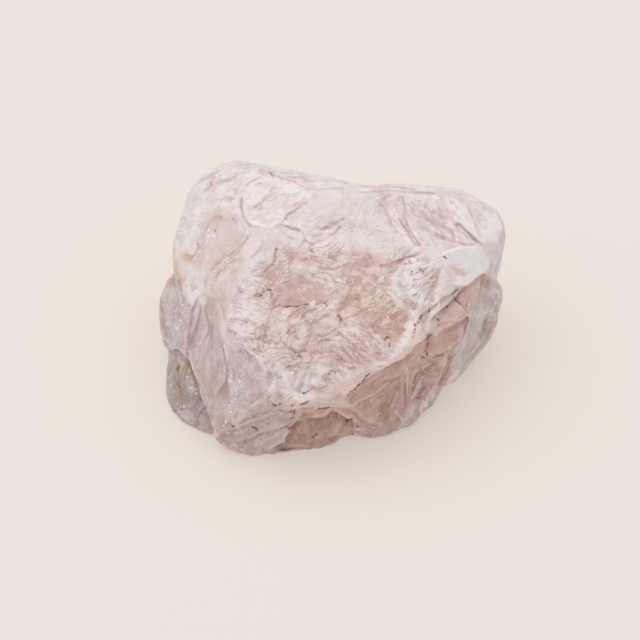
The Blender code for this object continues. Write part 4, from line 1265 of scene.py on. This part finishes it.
class MorganiteSkin(bpy.types.PropertyGroup):
    """Sizes of the broken skin."""

    grain: size_setting("Grain", "Size of the skin's faces", 0.145)
    triangles: bpy.props.IntProperty(name="Triangles", description="Most triangles in the skin",
                                     default=195000, min=1)
    flake_height: size_setting("Flake Height", "Height of large flakes", 0.04)
    chip_height: size_setting("Chip Height", "Height of small flakes", 0.025)
    step_height: size_setting("Step Height", "Height of thin steps", 0.05)
    grit_height: size_setting("Grit Height", "Height of fine grit", 0.02)


class MorganiteColours(bpy.types.PropertyGroup):
    """Colours and tints of the finish."""

    __annotations__ = {
        name: bpy.props.FloatVectorProperty(name=name.title(), description=description, size=4, min=0, max=1,
                                            default=linear(*shade), subtype="COLOR")
        for name, (description, shade) in COLOURS.items()
    }


# Operators

class MORGANITE_OT_skin(bpy.types.Operator):
    """Builds the stone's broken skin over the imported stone"""

    bl_idname = "morganite.skin"
    bl_label = "Broken Skin"

    def execute(self, context):
        sizes = context.scene.morganite_skin
        finish = Beryl(context.scene.morganite_colours).build()
        skin = copy_stone(sizes.grain / MILLIMETRE)
        web = Web(skin.data)
        front = facing(skin.data, web)
        flatten(skin.data, web, front)
        carve(skin.data, web, front)
        marks = Marks(skin.data, front)
        for step in (marks.tones, marks.breaks, marks.streaks, marks.cracks, marks.soil_and_glints):
            step()
        break_up(skin, sizes, finish)
        thin_out(skin, sizes.triangles)
        mark_edges(skin.data)
        skin.data.transform(front_frame())
        skin.data.shade_smooth()
        skin.data.update()
        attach(skin, "root")
        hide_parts("morganite")
        return {"FINISHED"}


class MORGANITE_OT_stage(bpy.types.Operator):
    """Sets up the floor, the soft studio light and the camera"""

    bl_idname = "morganite.stage"
    bl_label = "Stage"

    def execute(self, context):
        scene = context.scene
        self.lay_sheet()
        self.place_camera(scene, distance=500.0, seen_width=64.0)
        self.soft_box(scene, "top light", (-0.01, 0.10, 0.42), size=0.70, power=1.22)
        self.soft_box(scene, "left light", (-0.32, -0.06, 0.30), size=0.50, power=0.25)
        scene.world = bpy.data.worlds.new("studio")
        scene.world.use_nodes = True
        room = scene.world.node_tree.nodes["Background"]
        room.inputs["Color"].default_value = (1.0, 0.98, 0.96, 1)
        room.inputs["Strength"].default_value = 0.56
        scene.view_settings.view_transform = "Standard"
        return {"FINISHED"}

    def lay_sheet(self):
        """A pale sheet that glows a little, so that its shadows stay light."""
        bpy.ops.mesh.primitive_plane_add(size=3.0)
        floor = bpy.context.object
        floor.name = floor.data.name = "floor"
        paper = bpy.data.materials.new("pale paper")
        paper.use_nodes = True
        for name, value in {
            "Base Color": linear(188, 182, 177),
            "Roughness": 0.9,
            "Emission Color": linear(159, 153, 147),
            "Emission Strength": 1.0,
        }.items():
            paper.node_tree.nodes["Principled BSDF"].inputs[name].default_value = value
        floor.data.materials.append(paper)

    def place_camera(self, scene, distance, seen_width):
        """A camera square to the broad front, this far from it, that sees this width, in millimetres."""
        lens = bpy.data.cameras.new("camera")
        camera = bpy.data.objects.new("camera", lens)
        scene.collection.objects.link(camera)
        camera.location = front_frame() @ Vector((-1, -1, distance))
        camera.rotation_euler = (FRONT_TURN, 0, 0)
        lens.lens = lens.sensor_width * distance / seen_width
        lens.clip_start = 0.01
        scene.camera = camera

    def soft_box(self, scene, name, place, size, power):
        """A broad soft light that points at the stone."""
        light = bpy.data.lights.new(name, "AREA")
        light.size = size
        light.energy = power
        thing = bpy.data.objects.new(name, light)
        scene.collection.objects.link(thing)
        thing.location = place
        thing.rotation_euler = (STONE_MIDDLE - thing.location).to_track_quat("-Z", "Y").to_euler()


class MORGANITE_PT_panel(bpy.types.Panel):
    """Lists what the stone is built from"""

    bl_label = "Morganite"
    bl_idname = "MORGANITE_PT_panel"
    bl_space_type = "VIEW_3D"
    bl_region_type = "UI"
    bl_category = "Morganite"

    def draw(self, context):
        for operator in (MORGANITE_OT_skin, MORGANITE_OT_stage):
            self.layout.operator(operator.bl_idname)


CLASSES = (MorganiteSkin, MorganiteColours, MORGANITE_OT_skin, MORGANITE_OT_stage, MORGANITE_PT_panel)


def register():
    for kind in CLASSES:
        bpy.utils.register_class(kind)
    bpy.types.Scene.morganite_skin = bpy.props.PointerProperty(type=MorganiteSkin)
    bpy.types.Scene.morganite_colours = bpy.props.PointerProperty(type=MorganiteColours)


def unregister():
    del bpy.types.Scene.morganite_skin
    del bpy.types.Scene.morganite_colours
    for kind in reversed(CLASSES):
        bpy.utils.unregister_class(kind)


def main():
    register()
    bpy.ops.morganite.stage()
    bpy.ops.morganite.skin()


if __name__ == "__main__":
    main()
